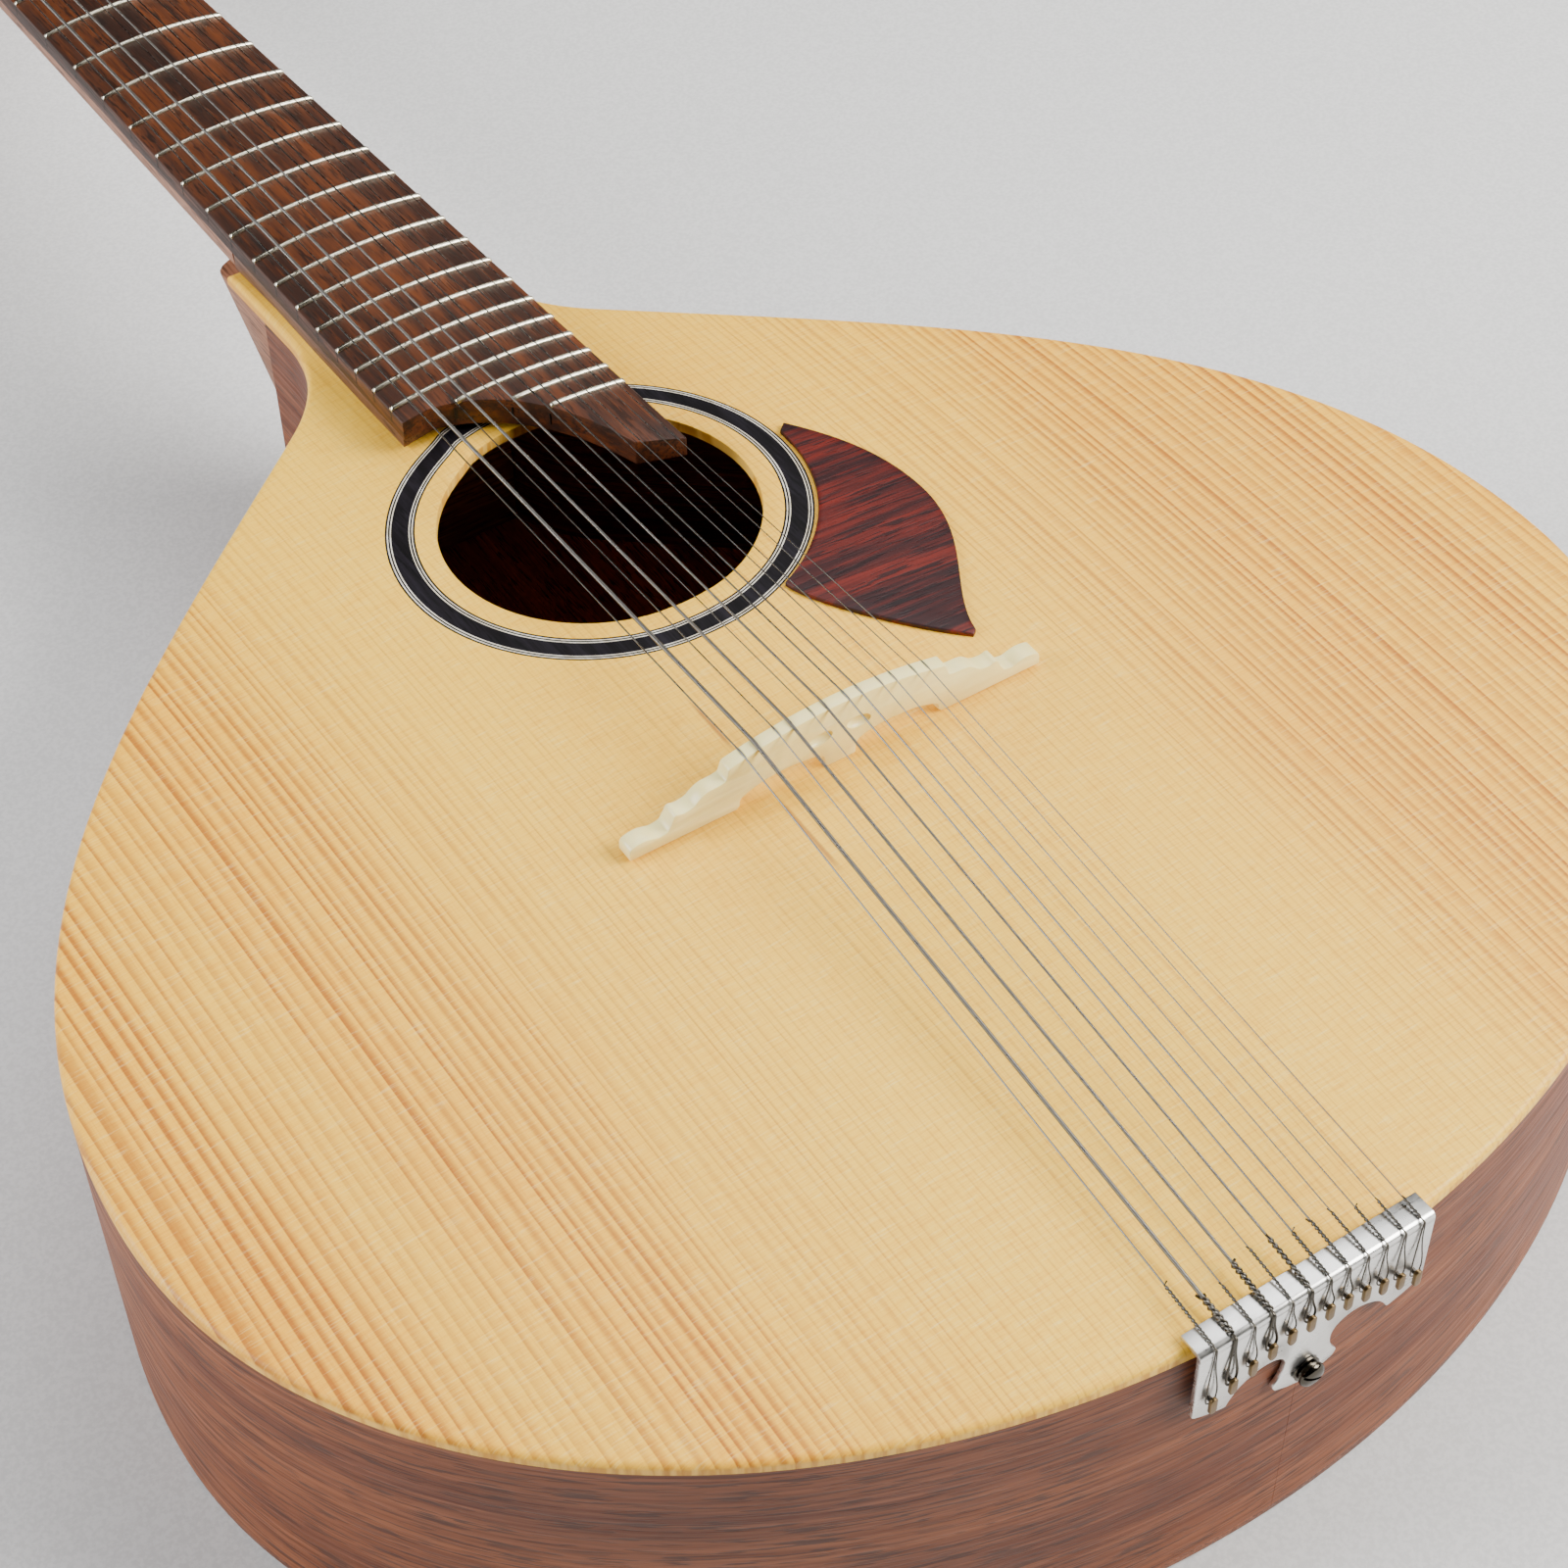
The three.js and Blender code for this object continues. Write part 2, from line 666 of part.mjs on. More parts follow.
function bridgeHalf() {
  const crest_end = outer_string_x + 4.5;
  const low = arch_shape.map(([x, z]) => [x * bridge_half_length, z * bridge_crest]);
  const wing = wing_shape.map(([x, z]) => [lerp(crest_end, bridge_half_length, x), z * bridge_crest]);
  const steps = 7;
  const crest = Array.from({ length: steps + 1 }, (_, k) => {
    const x = lerp(crest_end, 0, k / steps);
    return [x, crestAt(x)];
  });
  return { low, high: [...wing, ...crest] };
}

function bridge() {
  const { low, high } = bridgeHalf();
  const right = [...low, ...high];
  const left = right.map(([x, z]) => [-x, z]).reverse().filter(([x]) => x < 0);
  const front = new THREE.Shape([...right, ...left].map(([x, z]) => new THREE.Vector2(x, z)));
  const geometry = extrude(front, 1).translate(0, 0, -0.5).rotateX(Math.PI / 2);
  const position = geometry.attributes.position;
  for (let i = 0; i < position.count; i += 1) {
    const share = THREE.MathUtils.clamp(position.getZ(i) / bridge_crest, 0, 1);
    position.setY(i, position.getY(i) * lerp(bridge_foot_thickness, bridge_crest_thickness, share));
  }
  return geometry.rotateZ(bridge_skew);
}
add('bridge', bridge(), bone).position.set(0, -bridge_setback, bridge_base);

// ---- pickguard ----------------------------------------------------------------------------------
// A leaf whose hollow side follows the rosette. It is drawn from the hole's centre, in units of the
// radius of its hollow side, and then brought to size.
function pickguard() {
  const shape = new THREE.Shape();
  shape.absarc(0, 0, 1, 0.01, -1.15, true);
  shape.bezierCurveTo(0.418, -1.044, 0.665, -1.433, 0.902, -1.651);
  shape.lineTo(0.928, -1.632);
  shape.bezierCurveTo(0.98, -1.359, 1.294, -1.118, 1.298, -0.712);
  shape.bezierCurveTo(1.299, -0.379, 1.183, -0.157, 1.046, 0.05);
  const radius = rosette_outer_radius + guard_gap;
  const leaf = extrude(shape, guard_thickness, 8).scale(radius, radius, 1);
  return leaf.translate(0, hole_y, body_depth + dome_height + clearance);
}
add('pickguard', pickguard(), rosewood);

// ---- tailpiece and its screw --------------------------------------------------------------------
const flange_under = body_depth + 0.8;
const flange_top = flange_under + tail_plate_thickness;
const plate_back_y = tail_y - clearance;
const plate_front_y = plate_back_y - tail_plate_thickness;
const tongue_pitch = 2 * (tail_half_width - tongue_side_margin) / (string_count - 1);
const tongueX = (i) => (i - (string_count - 1) / 2) * tongue_pitch;
const tongueDrop = (i) => {
  return tongue_first_drop + tongue_arch * (tongueX(i) / tongueX(string_count - 1)) ** 2;
};

// Lower edge of the plate's right half, from its corner to the lobe that the screw goes through:
// shares of the half width, and of the lobe's drop below the flange.
const tail_edge = [
  [1, 0.629], [0.721, 0.726], [0.639, 0.611], [0.525, 0.56], [0.377, 0.546], [0.256, 0.591],
  [0.197, 0.663], [0.184, 0.743], [0.207, 0.834], [0.262, 0.894], [0.131, 0.966],
];

function tailpiece() {
  const w = tail_half_width;
  const shape = new THREE.Shape();
  shape.moveTo(-w, 0);
  shape.lineTo(w, 0);
  const lower = tail_edge.map(([x, drop]) => [x * w, -drop * tail_lobe_drop]);
  lower.forEach(([x, z]) => shape.lineTo(x, z));
  shape.lineTo(0, -tail_lobe_drop);
  lower.reverse().forEach(([x, z]) => shape.lineTo(-x, z));
  const plate = extrude(shape, tail_plate_thickness).rotateX(Math.PI / 2);
  plate.translate(0, plate_back_y, flange_top);
  const flange_length = tail_flange_depth + tail_plate_thickness;
  const flange_z = (flange_under + flange_top) / 2;
  const flange_y = plate_front_y + flange_length / 2;
  const flange = box(2 * w, flange_length, tail_plate_thickness, 0, flange_y, flange_z);
  const tongues = Array.from({ length: string_count }, (_, i) => tongue(i));
  return cut(joined([plate, flange, ...tongues]), button_hole);
}

// A tab that stands off the plate and turns down, so that a string's loop hangs on it.
function tongue(i) {
  const z = flange_top - tongueDrop(i);
  const arm_y = plate_front_y - tongue_reach / 2 + 0.2;
  const arm = box(tongue_width, tongue_reach + 0.4, 1.2, tongueX(i), arm_y, z);
  const tab_y = plate_front_y - tongue_reach;
  const tab = box(tongue_width, 1, tongue_height, tongueX(i), tab_y, z - tongue_height / 2 + 1.6);
  return joined([arm, tab]);
}
add('tailpiece', tailpiece(), nickel);

function tailScrew() {
  const profile = [[0, 0], [1, 0], [1, 0.44], [0.8, 0.81], [0.48, 1], [0, 1]];
  const face = plate_front_y - clearance;
  const turned = profile.map(([r, h]) => new THREE.Vector2(r * button_radius, h * button_height));
  const dome_head = new THREE.LatheGeometry(turned, 14);
  dome_head.rotateX(Math.PI).translate(0, face, 0);
  const shaft = rod(button_shaft_radius, face - 0.5, tail_y + 14, 8);
  return joined([dome_head, shaft]);
}
add('tail_screw', tailScrew(), steel).position.z = button_z;

// ---- head ---------------------------------------------------------------------------------------
const fan_y = nut_y - fan_centre_back;
const fanAngle = (i) => (i - (string_count - 1) / 2) * fan_step;
const fan_edge = fanAngle(string_count - 1) + head_margin / rail_radius;
const head_face = boardUnder(neck_end_y) - clearance - head_step;
const head_end_radius = rail_radius + rail_thickness;
const onFan = (radius, angle) => {
  return new THREE.Vector2(radius * Math.sin(angle), fan_y + radius * Math.cos(angle));
};
const knob_half_width = (head_end_radius * fan_step - knob_side_gap) / 2;
const hook_width = hook_radius_at_rest * fan_step * hook_width_share;

function fanShape(inner_y, radius, margin) {
  const steps = 12;
  const arc = Array.from({ length: steps + 1 }, (_, k) => {
    return onFan(radius, lerp(fan_edge - margin, -fan_edge + margin, k / steps));
  });
  const half = boardHalfWidth(nut_y) - margin * 40;
  return [new THREE.Vector2(-half, inner_y), new THREE.Vector2(half, inner_y), ...arc];
}

function head() {
  const fan = extrude(fanShape(neck_end_y + clearance, head_end_radius, 0), head_thickness);
  fan.translate(0, 0, head_face - head_thickness);
  return joined([fan, finial()]);
}

// Teardrop that ends the head, below the tuner knobs.
function finial() {
  const start = fan_y + head_end_radius - 2;
  const stations = [
    [0, 0.69, 5], [0.18, 0.54, 4.4], [0.4, 0.73, 5], [0.62, 0.97, 5.8], [0.78, 1, 6], [0.92, 0.66, 4.4],
    [1, 0.15, 1.4],
  ];
  const centre = head_face - head_thickness / 2;
  const sides = 12;
  return loft(stations.map(([share, half, thick]) => Array.from({ length: sides }, (_, k) => {
    const angle = k * 2 * Math.PI / sides;
    const x = half * finial_half_width * Math.cos(angle);
    return new THREE.Vector3(x, start + share * finial_length, centre + thick * Math.sin(angle));
  })));
}
add('head', head(), neck_wood);

// ---- fan tuning machine -------------------------------------------------------------------------
const rod_z = head_face + rod_height;
const plate_z = head_face + clearance;

function tunerPlate() {
  const plate = fanShape(neck_end_y + 3, head_end_radius - 0.4, 0.02);
  return extrude(plate, plate_thickness).translate(0, 0, plate_z);
}
add('tuner_plate', tunerPlate(), nickel);

function tunerRail() {
  const steps = 16;
  const arc = (radius) => Array.from({ length: steps + 1 }, (_, k) => {
    return onFan(radius, lerp(-fan_edge + 0.02, fan_edge - 0.02, k / steps));
  });
  const bottom = plate_z + plate_thickness + clearance;
  const top = rod_z + 4;
  const bar = extrude([...arc(rail_radius), ...arc(head_end_radius).reverse()], top - bottom);
  bar.translate(0, 0, bottom);
  const drills = Array.from({ length: string_count }, (_, i) => {
    const drill = rod(rod_radius + rod_fit, rail_radius - 5, head_end_radius + 5, 12);
    return drill.rotateZ(-fanAngle(i)).translate(0, fan_y, rod_z);
  });
  return fromSolid(drills.reduce((whole, drill) => whole.subtract(toSolid(drill)), toSolid(bar)));
}
add('tuner_rail', tunerRail(), nickel);

// A thumbscrew: threaded rod, collar that bears on the rail, and a flat oval grip.
function tunerKnob() {
  const collar_start = head_end_radius + clearance;
  const grip_start = collar_start + knob_collar_length;
  const shaft = rod(rod_radius, rod_start, collar_start + 1, 16);
  const collar = rod(knob_collar_radius, collar_start, grip_start, 10);
  const oval = new THREE.Shape();
  oval.absellipse(0, 0, knob_half_width, knob_length / 2, 0, 2 * Math.PI);
  const grip = extrude(oval, 2, 7).translate(0, grip_start + knob_length / 2 - 0.8, -1);
  return joined([shaft, collar, grip]);
}

// A carriage that runs on the rod and carries the string's loop on its horn.
function tunerHook() {
  const bore = rod(rod_radius + rod_fit, -hook_length, hook_length, 16);
  const block = box(hook_width, hook_length, hook_height, 0, 0, 0.1);
  const horn = box(1.4, 1.4, 2.4, 0, hook_length / 2 - 1.6, hook_height / 2 + 1);
  return cut(joined([block, horn]), bore);
}

for (let i = 0; i < string_count; i += 1) {
  const turned = new THREE.Group();
  turned.position.set(0, fan_y, rod_z);
  turned.rotation.z = -fanAngle(i);
  instrument.add(turned);
  const knob = add(`tuner_knob_${i + 1}`, tunerKnob(), brass);
  const hook = add(`tuner_hook_${i + 1}`, tunerHook(), brass);
  hook.position.y = hook_radius_at_rest;
  turned.add(knob, hook);
}

// ---- strings ------------------------------------------------------------------------------------
for (let i = 0; i < string_count; i += 1) {
  const r = string_radii[i];
  const drop_y = plate_front_y - clearance - r;
  const loop_z = flange_top - tongueDrop(i) + 0.6 + clearance + r;
  const crest_z = bridge_base + crestAt(bridgeX(i)) + clearance + r + 0.15;
  const crest_y = bridgeX(i) * Math.tan(bridge_skew) - bridge_setback;
  const nut_z = nutTop(nutX(i)) + clearance + r + 0.1;
  const hook_end = onFan(hook_radius_at_rest + hook_length / 2 - 2.4 - clearance - r, fanAngle(i));
  const hook_z = rod_z + hook_height / 2 + 0.1 + clearance + r + 0.5;
  const route = [
    new THREE.Vector3(tongueX(i), drop_y, loop_z),
    new THREE.Vector3(tongueX(i), drop_y, flange_top + clearance + r),
    new THREE.Vector3(bridgeX(i), crest_y, crest_z),
    new THREE.Vector3(nutX(i), nut_y + nut_thickness / 2, nut_z),
    new THREE.Vector3(hook_end.x, hook_end.y, hook_z),
  ];
  add(`string_${i + 1}`, tube(route, r, 6), steel);
}

export default instrument;
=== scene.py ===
"""Twelve-string Portuguese guitar: the looks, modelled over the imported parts."""
import math

import bmesh
import bpy
from bpy.props import FloatProperty, FloatVectorProperty, IntProperty, PointerProperty
from mathutils import Matrix, Vector


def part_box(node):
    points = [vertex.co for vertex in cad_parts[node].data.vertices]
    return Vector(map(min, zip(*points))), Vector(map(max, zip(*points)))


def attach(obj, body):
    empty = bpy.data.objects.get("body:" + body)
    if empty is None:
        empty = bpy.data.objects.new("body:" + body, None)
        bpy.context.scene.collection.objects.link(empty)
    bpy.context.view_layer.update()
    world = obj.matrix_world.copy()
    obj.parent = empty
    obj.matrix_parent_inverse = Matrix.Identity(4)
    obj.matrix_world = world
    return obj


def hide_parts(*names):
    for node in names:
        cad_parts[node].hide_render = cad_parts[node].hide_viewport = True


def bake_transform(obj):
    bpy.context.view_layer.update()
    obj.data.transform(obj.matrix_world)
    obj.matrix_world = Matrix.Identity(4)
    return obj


bl_info = {
    "name": "Portuguese guitar",
    "version": (1, 0, 0),
    "blender": (4, 5, 0),
    "location": "View3D > Sidebar > Guitar",
    "description": "Models the body, fittings, strings and tuners of a Portuguese guitar",
    "category": "Object",
}

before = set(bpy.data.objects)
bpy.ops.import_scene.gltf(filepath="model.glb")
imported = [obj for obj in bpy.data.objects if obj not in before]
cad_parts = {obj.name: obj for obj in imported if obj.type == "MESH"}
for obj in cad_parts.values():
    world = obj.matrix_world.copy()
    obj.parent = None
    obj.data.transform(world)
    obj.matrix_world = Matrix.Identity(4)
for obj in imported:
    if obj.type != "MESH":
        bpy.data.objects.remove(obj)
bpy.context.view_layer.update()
MM = 0.001
COURSES = 6
STRINGS = 12
ROOT = "instrument"


# ---- sizes and colours that a user may change ---------------------------------------------------
def length(name, description, default):
    return FloatProperty(name=name, description=description, default=default, unit="LENGTH")


def colour(name, description, default):
    return FloatVectorProperty(name=name, description=description, default=default, size=3,
                               min=0.0, max=1.0, subtype="COLOR")


class GuitarSizes(bpy.types.PropertyGroup):
    scale_length: length("Scale length", "Bridge string line to nut", 0.470)
    hole_radius: length("Soundhole radius", "Radius of the soundhole", 0.0404)
    rosette_inner: length("Rosette inner radius", "Inner edge of the inlaid rings", 0.0458)
    rosette_outer: length("Rosette outer radius", "Outer edge of the inlaid rings", 0.0532)
    edge_round: length("Edge rounding", "Rounding of the soundboard's rim", 0.0016)
    fret_width: length("Fret width", "Width of a fret's crown", 0.0016)
    fret_height: length("Fret height", "Height of a fret over the board", 0.001)
    fret_count: IntProperty(name="Frets", description="Number of frets", default=22, min=12, max=24)
    thread_pitch: length("Thread pitch", "Pitch of the tuning screws", 0.0005)
    winding_pitch: length("Winding pitch", "Pitch of the wire wound on the thick strings", 0.0003)
    twist_pitch: length("Twist pitch", "Pitch of the twist that closes a string's loop", 0.0021)


class GuitarColours(bpy.types.PropertyGroup):
    spruce_pale: colour("Spruce", "Pale wood in the middle of the soundboard", (1.0, 0.60, 0.05))
    spruce_honey: colour("Honey spruce", "Darker wood at the soundboard's sides", (0.96, 0.44, 0.02))
    late_wood: colour("Late wood", "Dark lines of the spruce", (0.50, 0.18, 0.015))
    mahogany: colour("Mahogany", "Ribs and back", (0.27, 0.080, 0.024))
    mahogany_pore: colour("Mahogany pores", "Dark pores of the ribs", (0.055, 0.018, 0.010))
    board_wood: colour("Fingerboard", "Fingerboard wood", (0.125, 0.034, 0.010))
    guard_wood: colour("Pickguard", "Red-brown of the pickguard", (0.115, 0.009, 0.005))
    bone: colour("Bone", "Bridge and nut", (1.0, 0.88, 0.40))
    light_wood: colour("Light wood", "Blocks and braces inside", (0.55, 0.36, 0.19))
    nickel: colour("Nickel", "Tailpiece plate", (0.83, 0.82, 0.79))
    brass: colour("Brass", "Tongues, hooks and tuning screws", (0.20, 0.135, 0.065))
    wire: colour("Wire", "Strings", (0.15, 0.15, 0.145))


def sizes():
    return bpy.context.scene.guitar_sizes


def tint(name):
    return (*getattr(bpy.context.scene.guitar_colours, name), 1.0)


# ---- body shape ---------------------------------------------------------------------------------
BODY_TOP = 0.088
BODY_HALF = 0.1915
WIDEST_Y = -0.0255
TAIL_DEPTH = 0.145
TAIL_Y = WIDEST_Y - TAIL_DEPTH
SIDE_PULL = 0.089
SHOULDER_PULL = 0.095
SHOULDER_RISE = 0.0355
SHOULDER = Vector((0.0458, 0.178))
SHOULDER_SLOPE = 0.85
RIB_END_Y = 0.228
BACK_THICK = 0.003
RIB_THICK = 0.0024
TOP_END_Y = 0.250
HOLE_Y = 0.1005
TOP_THICK = 0.003
DOME = 0.0075
DOME_Y = 0.010
RIM_FALL = 0.005
RIM_FALL_Y = 0.040
NUT_HALF = 0.022
TAPER = 0.0155
NUT_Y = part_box("nut")[0][1]
BOARD_RISE = 0.0118
BOARD_THICK = 0.0058
CAMBER = 0.0022
NECK_FALL = 0.045
BASS_END_Y = 0.1505
TONGUE_END_Y = 0.103


def lerp(a, b, share):
    return a + (b - a) * share


def arc(start, stop, steps):
    """Cosine and sine of evenly spaced angles, both ends included."""
    angles = [lerp(start, stop, k / steps) for k in range(steps + 1)]
    return [(math.cos(angle), math.sin(angle)) for angle in angles]


def circle(steps):
    return arc(0, 2 * math.pi, steps)[:-1]


def mirrored(points):
    """The other half of an outline that is symmetrical about X = 0, in reverse order."""
    return [Vector((-p.x, p.y)) for p in reversed(points) if p.x > 1e-6]


def board_half(y):
    return NUT_HALF + (NUT_Y - y) * TAPER


WAIST = board_half(TOP_END_Y) + 0.0026


def bezier(p0, p1, p2, p3, count):
    points = []
    for k in range(1, count + 1):
        t = k / count
        u = 1 - t
        points.append(p0 * u ** 3 + p1 * 3 * u * u * t + p2 * 3 * u * t * t + p3 * t ** 3)
    return points


def outline_half():
    """Right half of the body, from the middle of the tail to the end beside the fingerboard."""
    tail = arc(-math.pi / 2, 0, 52)
    points = [Vector((BODY_HALF * c, WIDEST_Y + TAIL_DEPTH * s)) for c, s in tail]
    points[0].x = 0.0
    along = Vector((1, -SHOULDER_SLOPE)).normalized()
    side = Vector((BODY_HALF, WIDEST_Y))
    points += bezier(side, side + Vector((0, SIDE_PULL)), SHOULDER + along * SHOULDER_PULL, SHOULDER, 66)
    pull = 0.42 * SHOULDER_RISE
    straight = Vector((WAIST, SHOULDER.y + SHOULDER_RISE))
    points += bezier(SHOULDER, SHOULDER - along * pull, straight + Vector((0.0005, -pull)), straight, 18)
    for share in (0.4, 0.8, 1.0):
        points.append(Vector((WAIST, lerp(straight.y, TOP_END_Y, share))))
    return points


def moved_in(points, distance):
    """The half outline moved inwards by a distance."""
    result = []
    for i, point in enumerate(points):
        along = (points[min(i + 1, len(points) - 1)] - points[max(i - 1, 0)]).normalized()
        result.append(Vector((point.x - along.y * distance, point.y + along.x * distance)))
    result[0].x = 0.0
    return result


def whole(half):
    return half + mirrored(half)


OUTLINE = outline_half()
# Angle and distance of each point of the rim, seen from the top of the dome.
RIM_TABLE = sorted((math.atan2(p.x, p.y - DOME_Y), math.hypot(p.x, p.y - DOME_Y)) for p in whole(OUTLINE))


def rim_distance(angle):
    low, high = 0, len(RIM_TABLE) - 1
    if angle <= RIM_TABLE[0][0] or angle >= RIM_TABLE[-1][0]:
        return RIM_TABLE[0][1]
    while high - low > 1:
        middle = (low + high) // 2
        if RIM_TABLE[middle][0] <= angle:
            low = middle
        else:
            high = middle
    (a0, r0), (a1, r1) = RIM_TABLE[low], RIM_TABLE[high]
    return lerp(r0, r1, (angle - a0) / (a1 - a0) if a1 > a0 else 0)


def rim_z(y):
    return BODY_TOP - RIM_FALL * (max(y - RIM_FALL_Y, 0) / (TOP_END_Y - RIM_FALL_Y)) ** 2


def dome_z(x, y):
    distance = math.hypot(x, y - DOME_Y)
    share = min(distance / rim_distance(math.atan2(x, y - DOME_Y)), 1)
    return rim_z(y) + DOME * (1 - share ** 2)


def edge_line(y):
    """Height of the fingerboard's edges."""
    return BODY_TOP + BOARD_RISE - (y - BASS_END_Y) * NECK_FALL


def camber(x, y):
    return CAMBER * (1 - (x / board_half(y)) ** 2)


# ---- modelling helpers --------------------------------------------------------------------------
def linked(name, data):
    piece = bpy.data.objects.new(name, data)
    bpy.context.collection.objects.link(piece)
    return piece


def start_alone():
    if bpy.context.object and bpy.context.object.mode != "OBJECT":
        bpy.ops.object.mode_set(mode="OBJECT")
    bpy.ops.object.select_all(action="DESELECT")


def make_active(piece):
    start_alone()
    piece.select_set(True)
    bpy.context.view_layer.objects.active = piece


def put_ring(piece, ring, row):
    mesh = bmesh.from_edit_mesh(piece.data)
    place = mesh.verts.layers.int["place"]
    rows = mesh.verts.layers.int["row"]
    for vertex in mesh.verts:
        if vertex.select:
            vertex.co = ring[vertex[place]]
            vertex[rows] = row
    bmesh.update_edit_mesh(piece.data)


def ringed(name, rings, ends="CAP"):
    """Extrudes a circle through rings of points. ends is CAP, or LOOP to join last to first."""
    start_alone()
    count = len(rings[0])
    bpy.ops.mesh.primitive_circle_add(vertices=count, radius=0.01)
    piece = bpy.context.object
    piece.name = name
    piece.data.name = name
    bpy.ops.object.mode_set(mode="EDIT")
    bpy.ops.mesh.select_mode(type="VERT")
    mesh = bmesh.from_edit_mesh(piece.data)
    place = mesh.verts.layers.int.new("place")
    mesh.verts.layers.int.new("row")
    for k, vertex in enumerate(mesh.verts):
        vertex[place] = k
    bmesh.update_edit_mesh(piece.data)
    bpy.ops.mesh.select_all(action="SELECT")
    put_ring(piece, rings[0], 0)
    for row, ring in enumerate(rings[1:], 1):
        bpy.ops.mesh.extrude_region_move()
        put_ring(piece, ring, row)
    if ends == "CAP":
        bpy.ops.mesh.edge_face_add()
        select_row(piece, 0)
        bpy.ops.mesh.edge_face_add()
    if ends == "LOOP":
        bpy.ops.mesh.extrude_region_move()
        put_ring(piece, rings[0], 0)
        bpy.ops.mesh.select_all(action="SELECT")
        bpy.ops.mesh.remove_doubles(threshold=1e-7)
    bpy.ops.mesh.select_all(action="SELECT")
    bpy.ops.mesh.normals_make_consistent(inside=False)
    bpy.ops.object.mode_set(mode="OBJECT")
    lay_uv(piece, rings)
    return piece


def select_row(piece, wanted):
    bpy.ops.mesh.select_all(action="DESELECT")
    mesh = bmesh.from_edit_mesh(piece.data)
    rows = mesh.verts.layers.int["row"]
    for vertex in mesh.verts:
        vertex.select = vertex[rows] == wanted
    mesh.select_flush(True)
    bmesh.update_edit_mesh(piece.data)


def lay_uv(piece, rings):
    """A map in metres: U runs from ring to ring and V round the ring."""
    count = len(rings[0])
    run = [0.0]
    for a, b in zip(rings, rings[1:] + rings[:1]):
        run.append(run[-1] + sum((q - p).length for p, q in zip(a, b)) / count)
    middle = rings[len(rings) // 2]
    around = [0.0]
    for k in range(count):
        around.append(around[-1] + (middle[(k + 1) % count] - middle[k]).length)
    data = piece.data
    places = [item.value for item in data.attributes["place"].data]
    rows = [item.value for item in data.attributes["row"].data]
    while data.uv_layers:
        data.uv_layers.remove(data.uv_layers[0])
    layer = data.uv_layers.new(name="along")
    for face in data.polygons:
        corners = [data.loops[i].vertex_index for i in face.loop_indices]
        wraps = {places[v] for v in corners} == {0, count - 1}
        turns = {rows[v] for v in corners} == {0, len(rings) - 1} and len(rings) > 2
        for i, v in zip(face.loop_indices, corners):
            k = count if wraps and places[v] == 0 else places[v]
            row = len(rings) if turns and rows[v] == 0 else rows[v]
            layer.data[i].uv = (run[row], around[k])


def lathed(name, profile, sides, z=0.0):
    """A round piece about an axis along Y. profile has a radius and a place on Y for each ring."""
    turns = circle(sides)
    rings = [[Vector((radius * c, y, z + radius * s)) for c, s in turns] for radius, y in profile]
    return ringed(name, rings)


def drop_marks(piece):
    for name in ("place", "row"):
        mark = piece.data.attributes.get(name)
        if mark:
            piece.data.attributes.remove(mark)


def add_bevel(piece, width, segments=2, angle=35):
    make_active(piece)
    bevel = piece.modifiers.new("Bevel", "BEVEL")
    bevel.width = width
    bevel.segments = segments
    bevel.limit_method = "ANGLE"
    bevel.angle_limit = math.radians(angle)
    bevel.miter_outer = "MITER_ARC"
    bpy.ops.object.modifier_apply(modifier=bevel.name)


def smooth(piece, angle=35):
    make_active(piece)
    bpy.ops.object.shade_smooth_by_angle(angle=math.radians(angle))


def refined(node, name, width, segments=2):
    """A copy of a CAD solid with its edges rounded."""
    piece = linked(name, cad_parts[node].data.copy())
    piece.data.name = name
    make_active(piece)
    bpy.ops.object.mode_set(mode="EDIT")
    bpy.ops.mesh.select_all(action="SELECT")
    bpy.ops.mesh.remove_doubles(threshold=2e-6)
    bpy.ops.mesh.dissolve_limited(angle_limit=math.radians(1.5))
    bpy.ops.object.mode_set(mode="OBJECT")
    add_bevel(piece, width, segments)
    smooth(piece)
    return piece


def joined(name, pieces):
    make_active(pieces[0])
    for piece in pieces[1:]:
        piece.select_set(True)
    bpy.ops.object.join()
    pieces[0].name = name
    pieces[0].data.name = name
    return pieces[0]


def rod(radius, length, place, sides=12):
    """A plain round rod along Y, to cut with."""
    start_alone()
    bpy.ops.mesh.primitive_cylinder_add(vertices=sides, radius=radius, depth=length)
    tool = bpy.context.object
    tool.data.transform(Matrix.Translation(place) @ Matrix.Rotation(math.pi / 2, 4, "X"))
    return tool


def carved(piece, tool):
    make_active(piece)
    cut = piece.modifiers.new("Cut", "BOOLEAN")
    cut.object = tool
    cut.operation = "DIFFERENCE"
    cut.solver = "EXACT"
    bpy.ops.object.modifier_apply(modifier=cut.name)
    bpy.data.objects.remove(tool)


def wire(name, points, radius, sides=8):
    """A round wire through points."""
    curve = bpy.data.curves.new(name, "CURVE")
    curve.dimensions = "3D"
    curve.bevel_depth = radius
    curve.bevel_resolution = max(sides // 4 - 1, 0)
    curve.use_fill_caps = True
    spline = curve.splines.new("POLY")
    spline.points.add(len(points) - 1)
    for item, point in zip(spline.points, points):
        item.co = (*point, 1.0)
    make_active(linked(name, curve))
    bpy.ops.object.convert(target="MESH")
    return bpy.context.object


def finished(piece, material, body, slot, *nodes):
    """Gives a piece its material and body, and hides the CAD nodes that it stands for. The slot is not used.
    """
    drop_marks(piece)
    piece.data.materials.clear()
    piece.data.materials.append(material)
    for face in piece.data.polygons:
        face.material_index = 0
    if body:
        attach(piece, body)
    if nodes:
        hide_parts(*nodes)
    return piece


